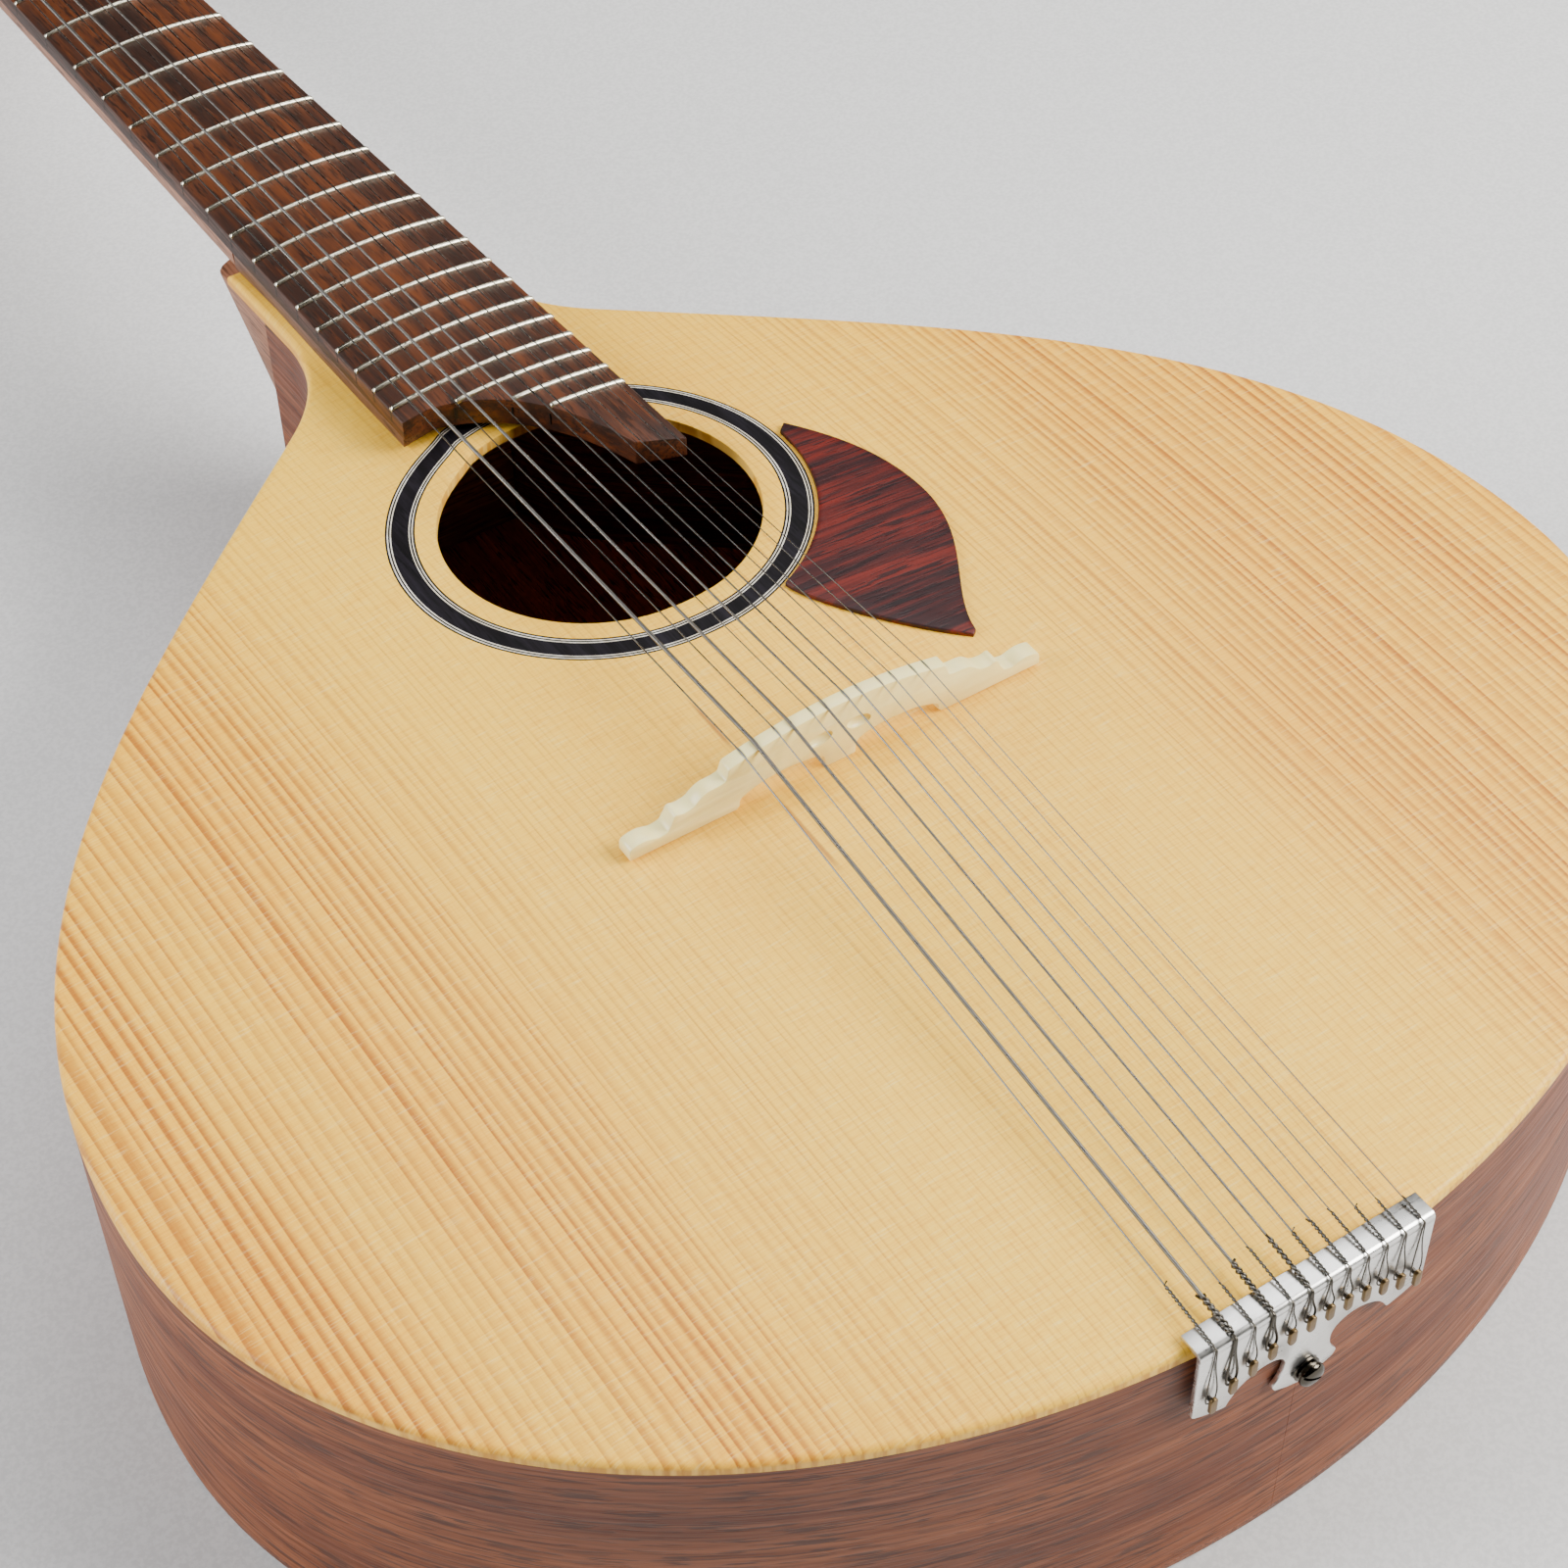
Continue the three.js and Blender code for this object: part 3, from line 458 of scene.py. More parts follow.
# ---- material helpers ---------------------------------------------------------------------------
class Recipe:
    """Nodes of one material."""

    def __init__(self, name, roughness=0.5, metallic=0.0, coat=0.0, coat_roughness=0.2, specular=0.5):
        self.material = bpy.data.materials.new(name)
        self.material.use_nodes = True
        self.tree = self.material.node_tree
        self.shader = self.tree.nodes["Principled BSDF"]
        self.shader.inputs["Roughness"].default_value = roughness
        self.shader.inputs["Metallic"].default_value = metallic
        self.shader.inputs["Coat Weight"].default_value = coat
        self.shader.inputs["Coat Roughness"].default_value = coat_roughness
        self.shader.inputs["Specular IOR Level"].default_value = specular

    def feed(self, socket, value):
        if isinstance(value, bpy.types.NodeSocket):
            self.tree.links.new(value, socket)
        elif value is not None:
            socket.default_value = value

    def place(self, uv=False):
        node = self.tree.nodes.new("ShaderNodeTexCoord")
        return node.outputs["UV" if uv else "Object"]

    def normal_z(self):
        return self.split(self.tree.nodes.new("ShaderNodeNewGeometry").outputs["Normal"])[2]

    def scaled(self, vector, scale, turn=0.0):
        node = self.tree.nodes.new("ShaderNodeMapping")
        self.feed(node.inputs["Vector"], vector)
        node.inputs["Rotation"].default_value = (0, 0, turn)
        node.inputs["Scale"].default_value = scale
        return node.outputs["Vector"]

    def split(self, vector):
        node = self.tree.nodes.new("ShaderNodeSeparateXYZ")
        self.feed(node.inputs[0], vector)
        return node.outputs

    def combine(self, x, y, z=0.0):
        node = self.tree.nodes.new("ShaderNodeCombineXYZ")
        for socket, value in zip(node.inputs, (x, y, z)):
            self.feed(socket, value)
        return node.outputs[0]

    def calc(self, operation, a, b=None, c=None, clamp=False):
        node = self.tree.nodes.new("ShaderNodeMath")
        node.operation = operation
        node.use_clamp = clamp
        for socket, value in zip(node.inputs, (a, b, c)):
            self.feed(socket, value)
        return node.outputs[0]

    def noise(self, vector, scale=1.0, detail=2.0, rough=0.5, distortion=0.0):
        node = self.tree.nodes.new("ShaderNodeTexNoise")
        self.feed(node.inputs["Vector"], vector)
        node.inputs["Scale"].default_value = scale
        node.inputs["Detail"].default_value = detail
        node.inputs["Roughness"].default_value = rough
        node.inputs["Distortion"].default_value = distortion
        return node.outputs["Fac"]

    def random(self, value):
        node = self.tree.nodes.new("ShaderNodeTexWhiteNoise")
        node.noise_dimensions = "1D"
        self.feed(node.inputs["W"], value)
        return node.outputs["Value"]

    def span(self, value, low, high, to_low=0.0, to_high=1.0, smoothly=True):
        node = self.tree.nodes.new("ShaderNodeMapRange")
        node.interpolation_type = "SMOOTHSTEP" if smoothly else "LINEAR"
        for socket, item in zip(node.inputs, (value, low, high, to_low, to_high)):
            self.feed(socket, item)
        return node.outputs[0]

    def mix(self, share, a, b, kind="MIX"):
        node = self.tree.nodes.new("ShaderNodeMix")
        node.data_type = "RGBA"
        node.blend_type = kind
        for socket, value in ((node.inputs[0], share), (node.inputs[6], a), (node.inputs[7], b)):
            self.feed(socket, value)
        return node.outputs[2]

    def bump(self, height, strength, distance):
        node = self.tree.nodes.new("ShaderNodeBump")
        node.inputs["Strength"].default_value = strength
        node.inputs["Distance"].default_value = distance
        self.feed(node.inputs["Height"], height)
        self.feed(self.shader.inputs["Normal"], node.outputs[0])

    def colour(self, value):
        self.feed(self.shader.inputs["Base Color"], value)

    def roughness(self, value):
        self.feed(self.shader.inputs["Roughness"], value)


def spruce():
    r = Recipe("spruce", roughness=0.5, coat=0.06, coat_roughness=0.3, specular=0.3)
    place = r.place()
    x, y = r.split(place)[:2]
    # Distance from the heart line in millimetres, and growth rings that get wider away from it.
    wander = r.noise(r.scaled(place, (6, 1.6, 6)), detail=2)
    bent = r.calc("MULTIPLY_ADD", wander, 0.007, x)
    across = r.calc("MULTIPLY", r.calc("ABSOLUTE", r.calc("SUBTRACT", bent, 0.0035)), 1000)
    on_left = r.span(x, -0.02, 0.0, 1, 0)
    widening = 0.006
    narrowest = 1.55
    grown = r.calc("LOGARITHM", r.calc("MULTIPLY_ADD", across, widening, 1), math.e)
    rings = r.calc("DIVIDE", grown, widening * narrowest)
    uneven = r.noise(r.combine(rings, 0.0), scale=0.6, detail=1)
    rings = r.calc("MULTIPLY_ADD", uneven, 1.9, rings)
    part = r.calc("FRACT", rings)
    chance = r.random(r.calc("FLOOR", rings))
    outer = r.calc("MULTIPLY", r.span(across, 48, 128), r.span(on_left, 0, 1, 1.0, 0.92))
    start = r.calc("MULTIPLY_ADD", outer, -0.40, 0.58)
    rise = r.span(part, start, 0.88)
    late = r.calc("MULTIPLY", rise, r.span(part, 0.9, 1.0, 1.0, 0.0))
    # The dark late wood is faint in the middle and strong towards the sides.
    patchy = r.noise(r.scaled(place, (30, 3, 30)), detail=3)
    strength = r.calc("MULTIPLY_ADD", outer, 0.62, 0.34)
    strength = r.calc("MULTIPLY", strength, r.span(chance, 0, 1, 0.6, 1.15, False))
    strength = r.calc("MULTIPLY", strength, r.span(patchy, 0.3, 0.7, 0.55, 1.25))
    honey = r.calc("MULTIPLY", outer, r.span(patchy, 0.25, 0.75, 0.15, 0.75))
    base = r.mix(honey, tint("spruce_pale"), tint("spruce_honey"))
    wood = r.mix(r.calc("MULTIPLY", late, strength, clamp=True), base, tint("late_wood"))
    # Silk across the grain, fibres along it and wide soft clouds.
    silk = r.noise(r.scaled(place, (150, 2300, 150)), detail=3, rough=0.65)
    fibre = r.noise(r.scaled(place, (2600, 70, 2600)), detail=2)
    wood = r.mix(r.span(silk, 0.48, 0.68, 0, 0.32), wood, (0.76, 0.48, 0.14, 1), "MULTIPLY")
    wood = r.mix(r.span(silk, 0.45, 0.32, 0, 0.22), wood, (1.0, 0.86, 0.42, 1), "SCREEN")
    wood = r.mix(r.span(fibre, 0.5, 0.75, 0, 0.28), wood, (0.72, 0.50, 0.24, 1), "MULTIPLY")
    cloud = r.noise(r.scaled(place, (9, 5, 9)), detail=3)
    wood = r.mix(r.span(cloud, 0.4, 0.72, 0, 0.35), wood, (0.85, 0.64, 0.36, 1), "MULTIPLY")
    # Two short dark streaks on one line, left of the middle.
    streak_x = r.calc("ABSOLUTE", r.calc("ADD", r.calc("MULTIPLY_ADD", y, -0.012, x), 0.0184))
    streak = r.span(streak_x, 0.0001, 0.0009, 1, 0)
    near = r.calc("MULTIPLY", r.span(y, -0.034, -0.026), r.span(y, -0.010, -0.006, 1, 0))
    far = r.calc("MULTIPLY", r.span(y, 0.010, 0.018), r.span(y, 0.026, 0.034, 1, 0))
    streak = r.calc("MULTIPLY", streak, r.calc("ADD", near, far))
    wood = r.mix(r.calc("MULTIPLY", streak, 0.8), wood, (0.40, 0.15, 0.03, 1))
    # The rim shows darker end grain.
    side = r.span(r.normal_z(), 0.1, 0.5, 1, 0)
    end_part = r.noise(r.scaled(place, (700, 1.5, 60)), detail=2)
    end_grain = r.mix(r.span(end_part, 0.4, 0.62), (0.92, 0.55, 0.10, 1), (0.66, 0.29, 0.03, 1))
    wood = r.mix(r.calc("MULTIPLY", side, 0.8), wood, end_grain)
    r.colour(wood)
    r.roughness(r.span(silk, 0.3, 0.8, 0.42, 0.56, False))
    r.bump(r.calc("ADD", r.calc("MULTIPLY", late, outer), r.calc("MULTIPLY", silk, 0.3)), 0.2, 0.0002)
    return r.material


def streaked_wood(name, wood, dark, pore, along, stripe=1.0, uv=False, turn=0.0, coat=0.12,
                  roughness=(0.42, 0.6), pore_depth=0.35, figure=1.0, coat_roughness=0.35,
                  grain=1.0, specular=0.3, pore_share=0.53):
    """Open-pored wood. along is the axis of the grain: 0 for X or U, 1 for Y."""
    r = Recipe(name, coat=coat, coat_roughness=coat_roughness, specular=specular)
    place = r.scaled(r.place(uv), (1, 1, 1), turn=turn)

    def stretched(lengthwise, crosswise):
        scale = [crosswise] * 3
        scale[along] = lengthwise
        return r.scaled(place, tuple(scale))

    broad = r.noise(stretched(3.0 * stripe, 55 * stripe), detail=3, rough=0.55, distortion=0.25)
    fine = r.noise(stretched(30 * grain, 850 * grain), detail=3, rough=0.6)
    pores = r.noise(stretched(110 * grain, 1700 * grain), detail=2, rough=0.55)
    long_pores = r.noise(stretched(40, 300), detail=1)
    body = r.mix(r.span(broad, 0.36, 0.64, 0, figure), wood, dark)
    body = r.mix(r.span(fine, 0.42, 0.68, 0, 0.55), body, dark)
    lit = tuple(min(c * 1.55, 1) for c in wood[:3]) + (1,)
    body = r.mix(r.span(fine, 0.46, 0.3, 0, 0.35), body, lit)
    filled = r.span(pores, pore_share, pore_share + 0.07)
    dots = r.calc("MULTIPLY", filled, r.span(long_pores, 0.4, 0.55, 0.45, 1))
    body = r.mix(r.calc("MULTIPLY", dots, 0.8), body, pore)
    r.colour(body)
    r.roughness(r.span(fine, 0.3, 0.7, *roughness, False))
    height = r.calc("SUBTRACT", r.calc("MULTIPLY", fine, 0.25), dots)
    r.bump(height, pore_depth, 0.00025)
    return r.material


def bone():
    r = Recipe("bone", coat=0.25, coat_roughness=0.18, specular=0.5)
    place = r.place()
    cloud = r.noise(r.scaled(place, (90, 130, 160)), detail=3)
    fibre = r.noise(r.scaled(place, (60, 900, 900)), detail=2)
    warm = tuple(c * f for c, f in zip(tint("bone")[:3], (0.97, 0.88, 0.68))) + (1,)
    wood = r.mix(r.span(cloud, 0.35, 0.7, 0, 0.55), tint("bone"), warm)
    wood = r.mix(r.span(fibre, 0.5, 0.75, 0, 0.2), wood, (0.80, 0.66, 0.42, 1))
    r.colour(wood)
    r.roughness(r.span(cloud, 0.3, 0.7, 0.3, 0.42, False))
    r.shader.inputs["Subsurface Weight"].default_value = 0.1
    r.shader.inputs["Subsurface Radius"].default_value = (0.004, 0.0025, 0.0015)
    r.shader.inputs["Subsurface Scale"].default_value = 0.6
    r.bump(fibre, 0.12, 0.0001)
    return r.material


def metal(name, tone, dull, roughness, brushed=(1500, 60, 1500), depth=0.06, tarnish=0.3):
    r = Recipe(name, metallic=1.0)
    place = r.place()
    lines = r.noise(r.scaled(place, brushed), detail=2)
    smears = r.noise(r.scaled(place, (220, 220, 220)), detail=4, rough=0.65)
    r.colour(r.mix(r.span(smears, 0.48, 0.72, 0, tarnish), tone, dull))
    both = r.calc("MULTIPLY_ADD", smears, 0.6, r.calc("MULTIPLY", lines, 0.4))
    r.roughness(r.span(both, 0.35, 0.7, *roughness, False))
    r.bump(lines, depth, 0.00005)
    return r.material


def wound_wire():
    r = Recipe("wound_wire", metallic=1.0, roughness=0.3)
    u = r.split(r.place(uv=True))[0]
    turns = r.calc("FRACT", r.calc("DIVIDE", u, sizes().winding_pitch))
    ridge = r.calc("SINE", r.calc("MULTIPLY", turns, math.pi))
    shade = r.noise(r.scaled(r.place(), (600, 200, 600)), detail=2)
    worn = r.mix(r.span(shade, 0.4, 0.7, 0, 0.5), (0.21, 0.20, 0.185, 1), tint("wire"))
    # Painted shade: the grooves between the turns of the winding are painted darker.
    r.colour(r.mix(r.span(ridge, 0.0, 0.5, 0.7, 0), worn, (0.09, 0.08, 0.07, 1)))
    r.roughness(r.span(shade, 0.3, 0.7, 0.24, 0.4, False))
    r.bump(ridge, 0.5, 0.0001)
    return r.material


def make_materials():
    """Every finish of the instrument, by name."""
    mahogany = tint("mahogany")
    board = tint("board_wood")
    guard = tint("guard_wood")
    light = tint("light_wood")
    return {
        "spruce": spruce(),
        "ribs": streaked_wood("rib_mahogany", mahogany, (0.10, 0.022, 0.008, 1), tint("mahogany_pore"),
                              0, uv=True, stripe=0.8, coat=0.06, coat_roughness=0.4, grain=0.62,
                              pore_share=0.5, figure=0.8),
        "back": streaked_wood("back_mahogany", mahogany, (0.135, 0.045, 0.022, 1), tint("mahogany_pore"), 1),
        # Painted light: the inside of the back is a much lighter copy of the mahogany, standing in for light
        # inside the shaded body.
        "inside": streaked_wood("inside_painted_light_mahogany", (0.85, 0.30, 0.15, 1), (0.45, 0.13, 0.06, 1),
                                (0.2, 0.06, 0.03, 1), 1, coat=0.0),
        "neck": streaked_wood("neck_wood", (0.33, 0.15, 0.085, 1), (0.20, 0.08, 0.04, 1),
                              tint("mahogany_pore"), 1, pore_depth=0.2),
        "board": streaked_wood("fingerboard_wood", board, (0.022, 0.009, 0.006, 1), (0.012, 0.006, 0.004, 1),
                               1, stripe=2.4, coat=0.06, figure=0.9, grain=0.9),
        "wedge": streaked_wood("wedge_wood", (0.13, 0.055, 0.028, 1), (0.06, 0.022, 0.011, 1),
                               (0.03, 0.012, 0.008, 1), 1, pore_depth=0.2),
        "guard": streaked_wood("pickguard_wood", guard, (0.018, 0.003, 0.004, 1), (0.008, 0.003, 0.004, 1),
                               0, stripe=5.0, coat=0.08, coat_roughness=0.25, turn=0.06, grain=0.8),
        "inner": streaked_wood("inner_wood", light, (0.36, 0.20, 0.09, 1), (0.22, 0.11, 0.05, 1), 0,
                               pore_depth=0.15, roughness=(0.6, 0.75), coat=0.0),
        "brace": streaked_wood("brace_wood", (0.50, 0.24, 0.12, 1), (0.30, 0.13, 0.06, 1),
                               (0.06, 0.02, 0.01, 1), 0, roughness=(0.6, 0.75), coat=0.0),
        "black": streaked_wood("black_inlay", (0.012, 0.010, 0.014, 1), (0.004, 0.003, 0.004, 1),
                               (0.002, 0.002, 0.002, 1), 1, stripe=5, pore_depth=0.05, coat=0.0,
                               specular=0.15),
        "white": streaked_wood("pale_inlay", (0.80, 0.76, 0.66, 1), (0.62, 0.56, 0.44, 1),
                               (0.5, 0.44, 0.34, 1), 1, stripe=5, pore_depth=0.03, coat=0.0),
        "slot": streaked_wood("fret_slot", (0.010, 0.006, 0.004, 1), (0.004, 0.003, 0.002, 1),
                              (0.002, 0.001, 0.001, 1), 1, pore_depth=0.1, coat=0.0),
        "bone": bone(),
        "nickel": metal("nickel_plate", tint("nickel"), (0.70, 0.68, 0.64, 1), (0.24, 0.40),
                        brushed=(60, 1500, 1500)),
        "fret": metal("fret_wire", (0.74, 0.70, 0.56, 1), (0.42, 0.38, 0.27, 1), (0.2, 0.38),
                      brushed=(60, 1500, 1500)),
        "brass": metal("aged_brass", tint("brass"), (0.10, 0.07, 0.035, 1), (0.28, 0.46)),
        "screw": metal("screw_steel", (0.085, 0.075, 0.06, 1), (0.04, 0.035, 0.03, 1), (0.1, 0.24)),
        "hooks": metal("dark_hooks", (0.10, 0.09, 0.08, 1), (0.04, 0.035, 0.03, 1), (0.35, 0.55)),
        "wire": metal("plain_wire", tint("wire"), (0.10, 0.095, 0.085, 1), (0.22, 0.38)),
        "twist": metal("twisted_wire", (0.085, 0.075, 0.06, 1), (0.03, 0.026, 0.02, 1), (0.3, 0.45)),
        "wound": wound_wire(),
    }


FINISH = {}


# ---- pieces -------------------------------------------------------------------------------------
class GUITAR_OT_soundboard(bpy.types.Operator):
    """Domed soundboard with its rounded rim, soundhole and rosette groove"""
    bl_idname = "guitar.soundboard"
    bl_label = "Soundboard"

    def execute(self, context):
        size = sizes()
        steps = 10
        across = [Vector((lerp(WAIST, -WAIST, k / steps), TOP_END_Y)) for k in range(1, steps)]
        rim = OUTLINE + across + mirrored(OUTLINE)
        middle = Vector((0, HOLE_Y))

        def at(point, drop):
            return Vector((point.x, point.y, dome_z(point.x, point.y) - drop))

        def ring(radius, drop):
            return [at(middle + (p - middle).normalized() * radius, drop) for p in rim]

        def between(share, drop, inner):
            return [at((middle + (p - middle).normalized() * inner).lerp(q, share), drop)
                    for p, q in zip(rim, rim_in)]

        def edge(inset, drop):
            moved = moved_in(OUTLINE, inset)
            end = TOP_END_Y - inset
            flat = [Vector((p.x * (1 - inset / WAIST), end)) for p in across]
            line = [Vector((p.x, min(p.y, end))) for p in moved + flat + mirrored(moved)]
            if drop < TOP_THICK / 2:
                return [at(p, drop) for p in line]
            return [Vector((p.x, p.y, rim_z(p.y) - drop)) for p in line]

        round_off = size.edge_round
        rim_in = [Vector((p.x, p.y)) for p in edge(round_off, 0)]
        groove = 1.2 * MM
        soft = 0.35 * MM
        rings = [
            ring(size.hole_radius, TOP_THICK),
            ring(size.hole_radius, soft),
            ring(size.hole_radius + soft * 0.3, soft * 0.3),
            ring(size.hole_radius + soft, 0),
            ring(size.rosette_inner, 0),
            ring(size.rosette_inner, groove),
            ring(size.rosette_outer, groove),
            ring(size.rosette_outer, 0),
        ]
        shares = (0.1, 0.22, 0.36, 0.5, 0.64, 0.78, 0.9)
        rings += [between(share, 0, size.rosette_outer) for share in shares]
        rings += [edge(round_off * (1 - s), round_off * (1 - c)) for c, s in arc(0, math.pi / 2, 5)]
        under = 2.6 * MM
        rings += [edge(0, TOP_THICK), edge(under, TOP_THICK)]
        rings.append(between(0.5, TOP_THICK, size.rosette_outer))
        piece = ringed("soundboard_top", rings, "LOOP")
        smooth(piece, 40)
        finished(piece, FINISH["spruce"], ROOT, "spruce", "soundboard")
        return {"FINISHED"}


class GUITAR_OT_rosette(bpy.types.Operator):
    """Black band between two sets of black and white lines"""
    bl_idname = "guitar.rosette"
    bl_label = "Rosette"

    def execute(self, context):
        size = sizes()
        fit = 0.03 * MM
        inner, outer = size.rosette_inner + fit, size.rosette_outer - fit
        lines = [0.45, 0.32, 0.42, 0.32]
        band = (outer - inner) / MM - 2 * sum(lines)
        widths = lines + [band] + lines[::-1]
        turns = circle(240)

        def ring(radius, drop):
            flat = [(radius * c, HOLE_Y + radius * s) for c, s in turns]
            return [Vector((x, y, dome_z(x, y) - drop)) for x, y in flat]

        radii = [inner]
        for width in widths:
            radii.append(radii[-1] + width * MM)
        depth, sunk = 1.1 * MM, 0.015 * MM
        rings = [ring(inner, depth)] + [ring(radius, sunk) for radius in radii] + [ring(outer, depth)]
        piece = ringed("rosette_rings", rings, "LOOP")
        rows = [item.value for item in piece.data.attributes["row"].data]
        pale_rows = (2, 4, 6, 8)
        pale = []
        for face in piece.data.polygons:
            low = min(rows[v] for v in face.vertices)
            high = max(rows[v] for v in face.vertices)
            pale.append(high - low == 1 and low in pale_rows)
        smooth(piece, 30)
        finished(piece, FINISH["black"], ROOT, "rosette_black", "rosette")
        piece.data.materials.append(FINISH["white"])
        for face, is_pale in zip(piece.data.polygons, pale):
            face.material_index = 1 if is_pale else 0
        return {"FINISHED"}


class GUITAR_OT_case(bpy.types.Operator):
    """Two bent ribs and the flat back"""
    bl_idname = "guitar.case"
    bl_label = "Ribs and back"

    def execute(self, context):
        half = [p for p in OUTLINE if p.y < RIB_END_Y - 0.5 * MM]
        half.append(Vector((WAIST, RIB_END_Y)))
        inner = moved_in(half, RIB_THICK)
        inner[-1] = Vector((WAIST - RIB_THICK, RIB_END_Y))
        low = BACK_THICK + 0.06 * MM
        hairline = 0.04 * MM
        for side, name in ((1, "treble"), (-1, "bass")):
            rings = []
            for i, (p, q) in enumerate(zip(half, inner)):
                shift = hairline if i == 0 else 0.0
                top = rim_z(p.y) - TOP_THICK - hairline / 2
                outer = (low, lerp(low, top, 0.33), lerp(low, top, 0.66), top)
                ring = [Vector((side * (p.x + shift), p.y, z)) for z in outer]
                ring += [Vector((side * (q.x + shift), q.y, z)) for z in (top, low)]
                rings.append(ring)
            piece = ringed(f"bent_rib_{name}", rings)
            smooth(piece, 40)
            finished(piece, FINISH["ribs"], ROOT, "mahogany", f"rib_{name}")
        rings = []
        for inset, height in ((2.2, 0.0), (0.8, 0.1), (0.25, 0.4), (0.0, 1.0), (0.0, 3.0)):
            line = moved_in(half, inset * MM)
            line[-1] = Vector((WAIST - inset * MM, RIB_END_Y - inset * MM * 0.5))
            rings.append([Vector((p.x, p.y, min(height * MM, BACK_THICK))) for p in whole(line)])
        piece = ringed("back_plate", rings)
        smooth(piece, 40)
        finished(piece, FINISH["back"], ROOT, "mahogany", "back")
        # The upward faces inside the body get the lighter mahogany, as painted light.
        piece.data.materials.append(FINISH["inside"])
        for face in piece.data.polygons:
            if face.center.z > BACK_THICK - 0.01 * MM:
                face.material_index = 1
        return {"FINISHED"}


class GUITAR_OT_inside(bpy.types.Operator):
    """Blocks and braces inside the body"""
    bl_idname = "guitar.inside"
    bl_label = "Inside"

    def execute(self, context):
        for node in ("neck_block", "tail_block"):
            piece = refined(node, f"{node}_wood", 0.5 * MM)
            finished(piece, FINISH["inner"], ROOT, "inner_wood", node)
        kinds = (("top_brace", "soundboard_brace", "inner"), ("back_brace", "back_bar", "brace"))
        for i in (1, 2, 3):
            for node, name, finish in kinds:
                piece = refined(f"{node}_{i}", f"{name}_{i}", 0.8 * MM, 3)
                finished(piece, FINISH[finish], ROOT, "inner_wood", f"{node}_{i}")
        return {"FINISHED"}


def board_end():
    """The fingerboard's end: square on the bass side, then a hollow cut down to the treble tongue."""
    points = [Vector((-board_half(BASS_END_Y), BASS_END_Y)), Vector((-0.0215, BASS_END_Y))]
    a, b, c = Vector((-0.020, BASS_END_Y)), Vector((0.006, BASS_END_Y - 0.007)), Vector((0.0155, 0.1075))
    steps = 20
    for k in range(steps + 1):
        t = k / steps
        points.append(a * (1 - t) ** 2 + b * 2 * t * (1 - t) + c * t * t)
    for share in (0.35, 0.7, 1.0):
        points.append(Vector((lerp(c.x, board_half(TONGUE_END_Y), share), lerp(c.y, TONGUE_END_Y, share))))
    return points


class GUITAR_OT_fingerboard(bpy.types.Operator):
    """Cambered fingerboard with its hollow-cut end, the frets and the wedge under it"""
    bl_idname = "guitar.fingerboard"
    bl_label = "Fingerboard and frets"

    def execute(self, context):
        end = board_end()
        stations = 26
        rings = []
        for point in end:
            share_x = point.x / board_half(point.y)
            top, under = [], []
            for k in range(stations + 1):
                y = lerp(point.y, NUT_Y, k / stations)
                x = share_x * board_half(y)
                top.append(Vector((x, y, edge_line(y) + camber(x, y))))
                under.append(Vector((x, y, edge_line(y) - BOARD_THICK)))
            rings.append(top + under[::-1])
        board = ringed("fingerboard_wood", rings)
        add_bevel(board, 0.35 * MM, 2, 50)
        smooth(board, 40)
        finished(board, FINISH["board"], ROOT, "rosewood", "fingerboard")
        self.frets(end)
        wedge = refined("fingerboard_wedge", "board_wedge", 0.25 * MM)
        finished(wedge, FINISH["wedge"], ROOT, "rosewood", "fingerboard_wedge")
        return {"FINISHED"}

    def frets(self, end):
        size = sizes()
        crowns, slots = [], []
        for n in range(1, size.fret_count + 1):
            y = size.scale_length * 2 ** (-n / 12)
            start = self.start_x(end, y)
            stop = board_half(y) - 0.05 * MM
            crowns.append(self.crown(n, y, start, stop))
            slots.append(self.slot(n, y, start, stop))
        crown = joined("fret_wires", crowns)
        smooth(crown, 50)
        finished(crown, FINISH["fret"], ROOT, "nickel")
        slot = joined("fret_slots", slots)
        finished(slot, FINISH["slot"], ROOT, "rosewood")

    def start_x(self, end, y):
        if y > BASS_END_Y:
            return -board_half(y) + 0.05 * MM
        for a, b in zip(end, end[1:]):
            if b.y <= y <= a.y and a.y > b.y:
                return lerp(a.x, b.x, (y - a.y) / (b.y - a.y)) + 0.35 * MM
        return end[-1].x

    def crown(self, n, y, start, stop):
        size = sizes()
        half, height = size.fret_width / 2, size.fret_height
        steps = 14
        sunk = 0.6 * MM
        first = [0.0, 0.35 * MM / (stop - start), 0.8 * MM / (stop - start)]
        shares = first + [lerp(first[2], 1 - first[2], k / steps) for k in range(1, steps)]
        shares += [1 - share for share in reversed(first)]
        rings = []
        for i, share in enumerate(shares):
            x = lerp(start, stop, share)
            from_end = min(i, len(shares) - 1 - i)
            full = (0.45, 0.86, 1.0)[min(from_end, 2)]
            base = edge_line(y) + camber(x, y)
            ring = [Vector((x, y - half * 0.5, base - sunk)), Vector((x, y - half, base))]
            for c, s in arc(0, math.pi, 7)[1:-1]:
                ring.append(Vector((x, y - half * c, base + height * full * s ** 0.8)))
            ring += [Vector((x, y + half, base)), Vector((x, y + half * 0.5, base - sunk))]
            rings.append(ring)
        return ringed(f"fret_{n}", rings)

    def slot(self, n, y, start, stop):
        half = 0.28 * MM
        proud = 0.03 * MM
        depth = 3.4 * MM
        left = -board_half(y) - proud if y > BASS_END_Y else start - 0.5 * MM
        right = board_half(y) + proud
        top = edge_line(y) - 0.1 * MM
        low = top - depth
        corners = ((y - half, top), (y + half, top), (y + half, low), (y - half, low))
        rings = [[Vector((x, *corner)) for corner in corners] for x in (left, right)]
        return ringed(f"slot_{n}", rings)


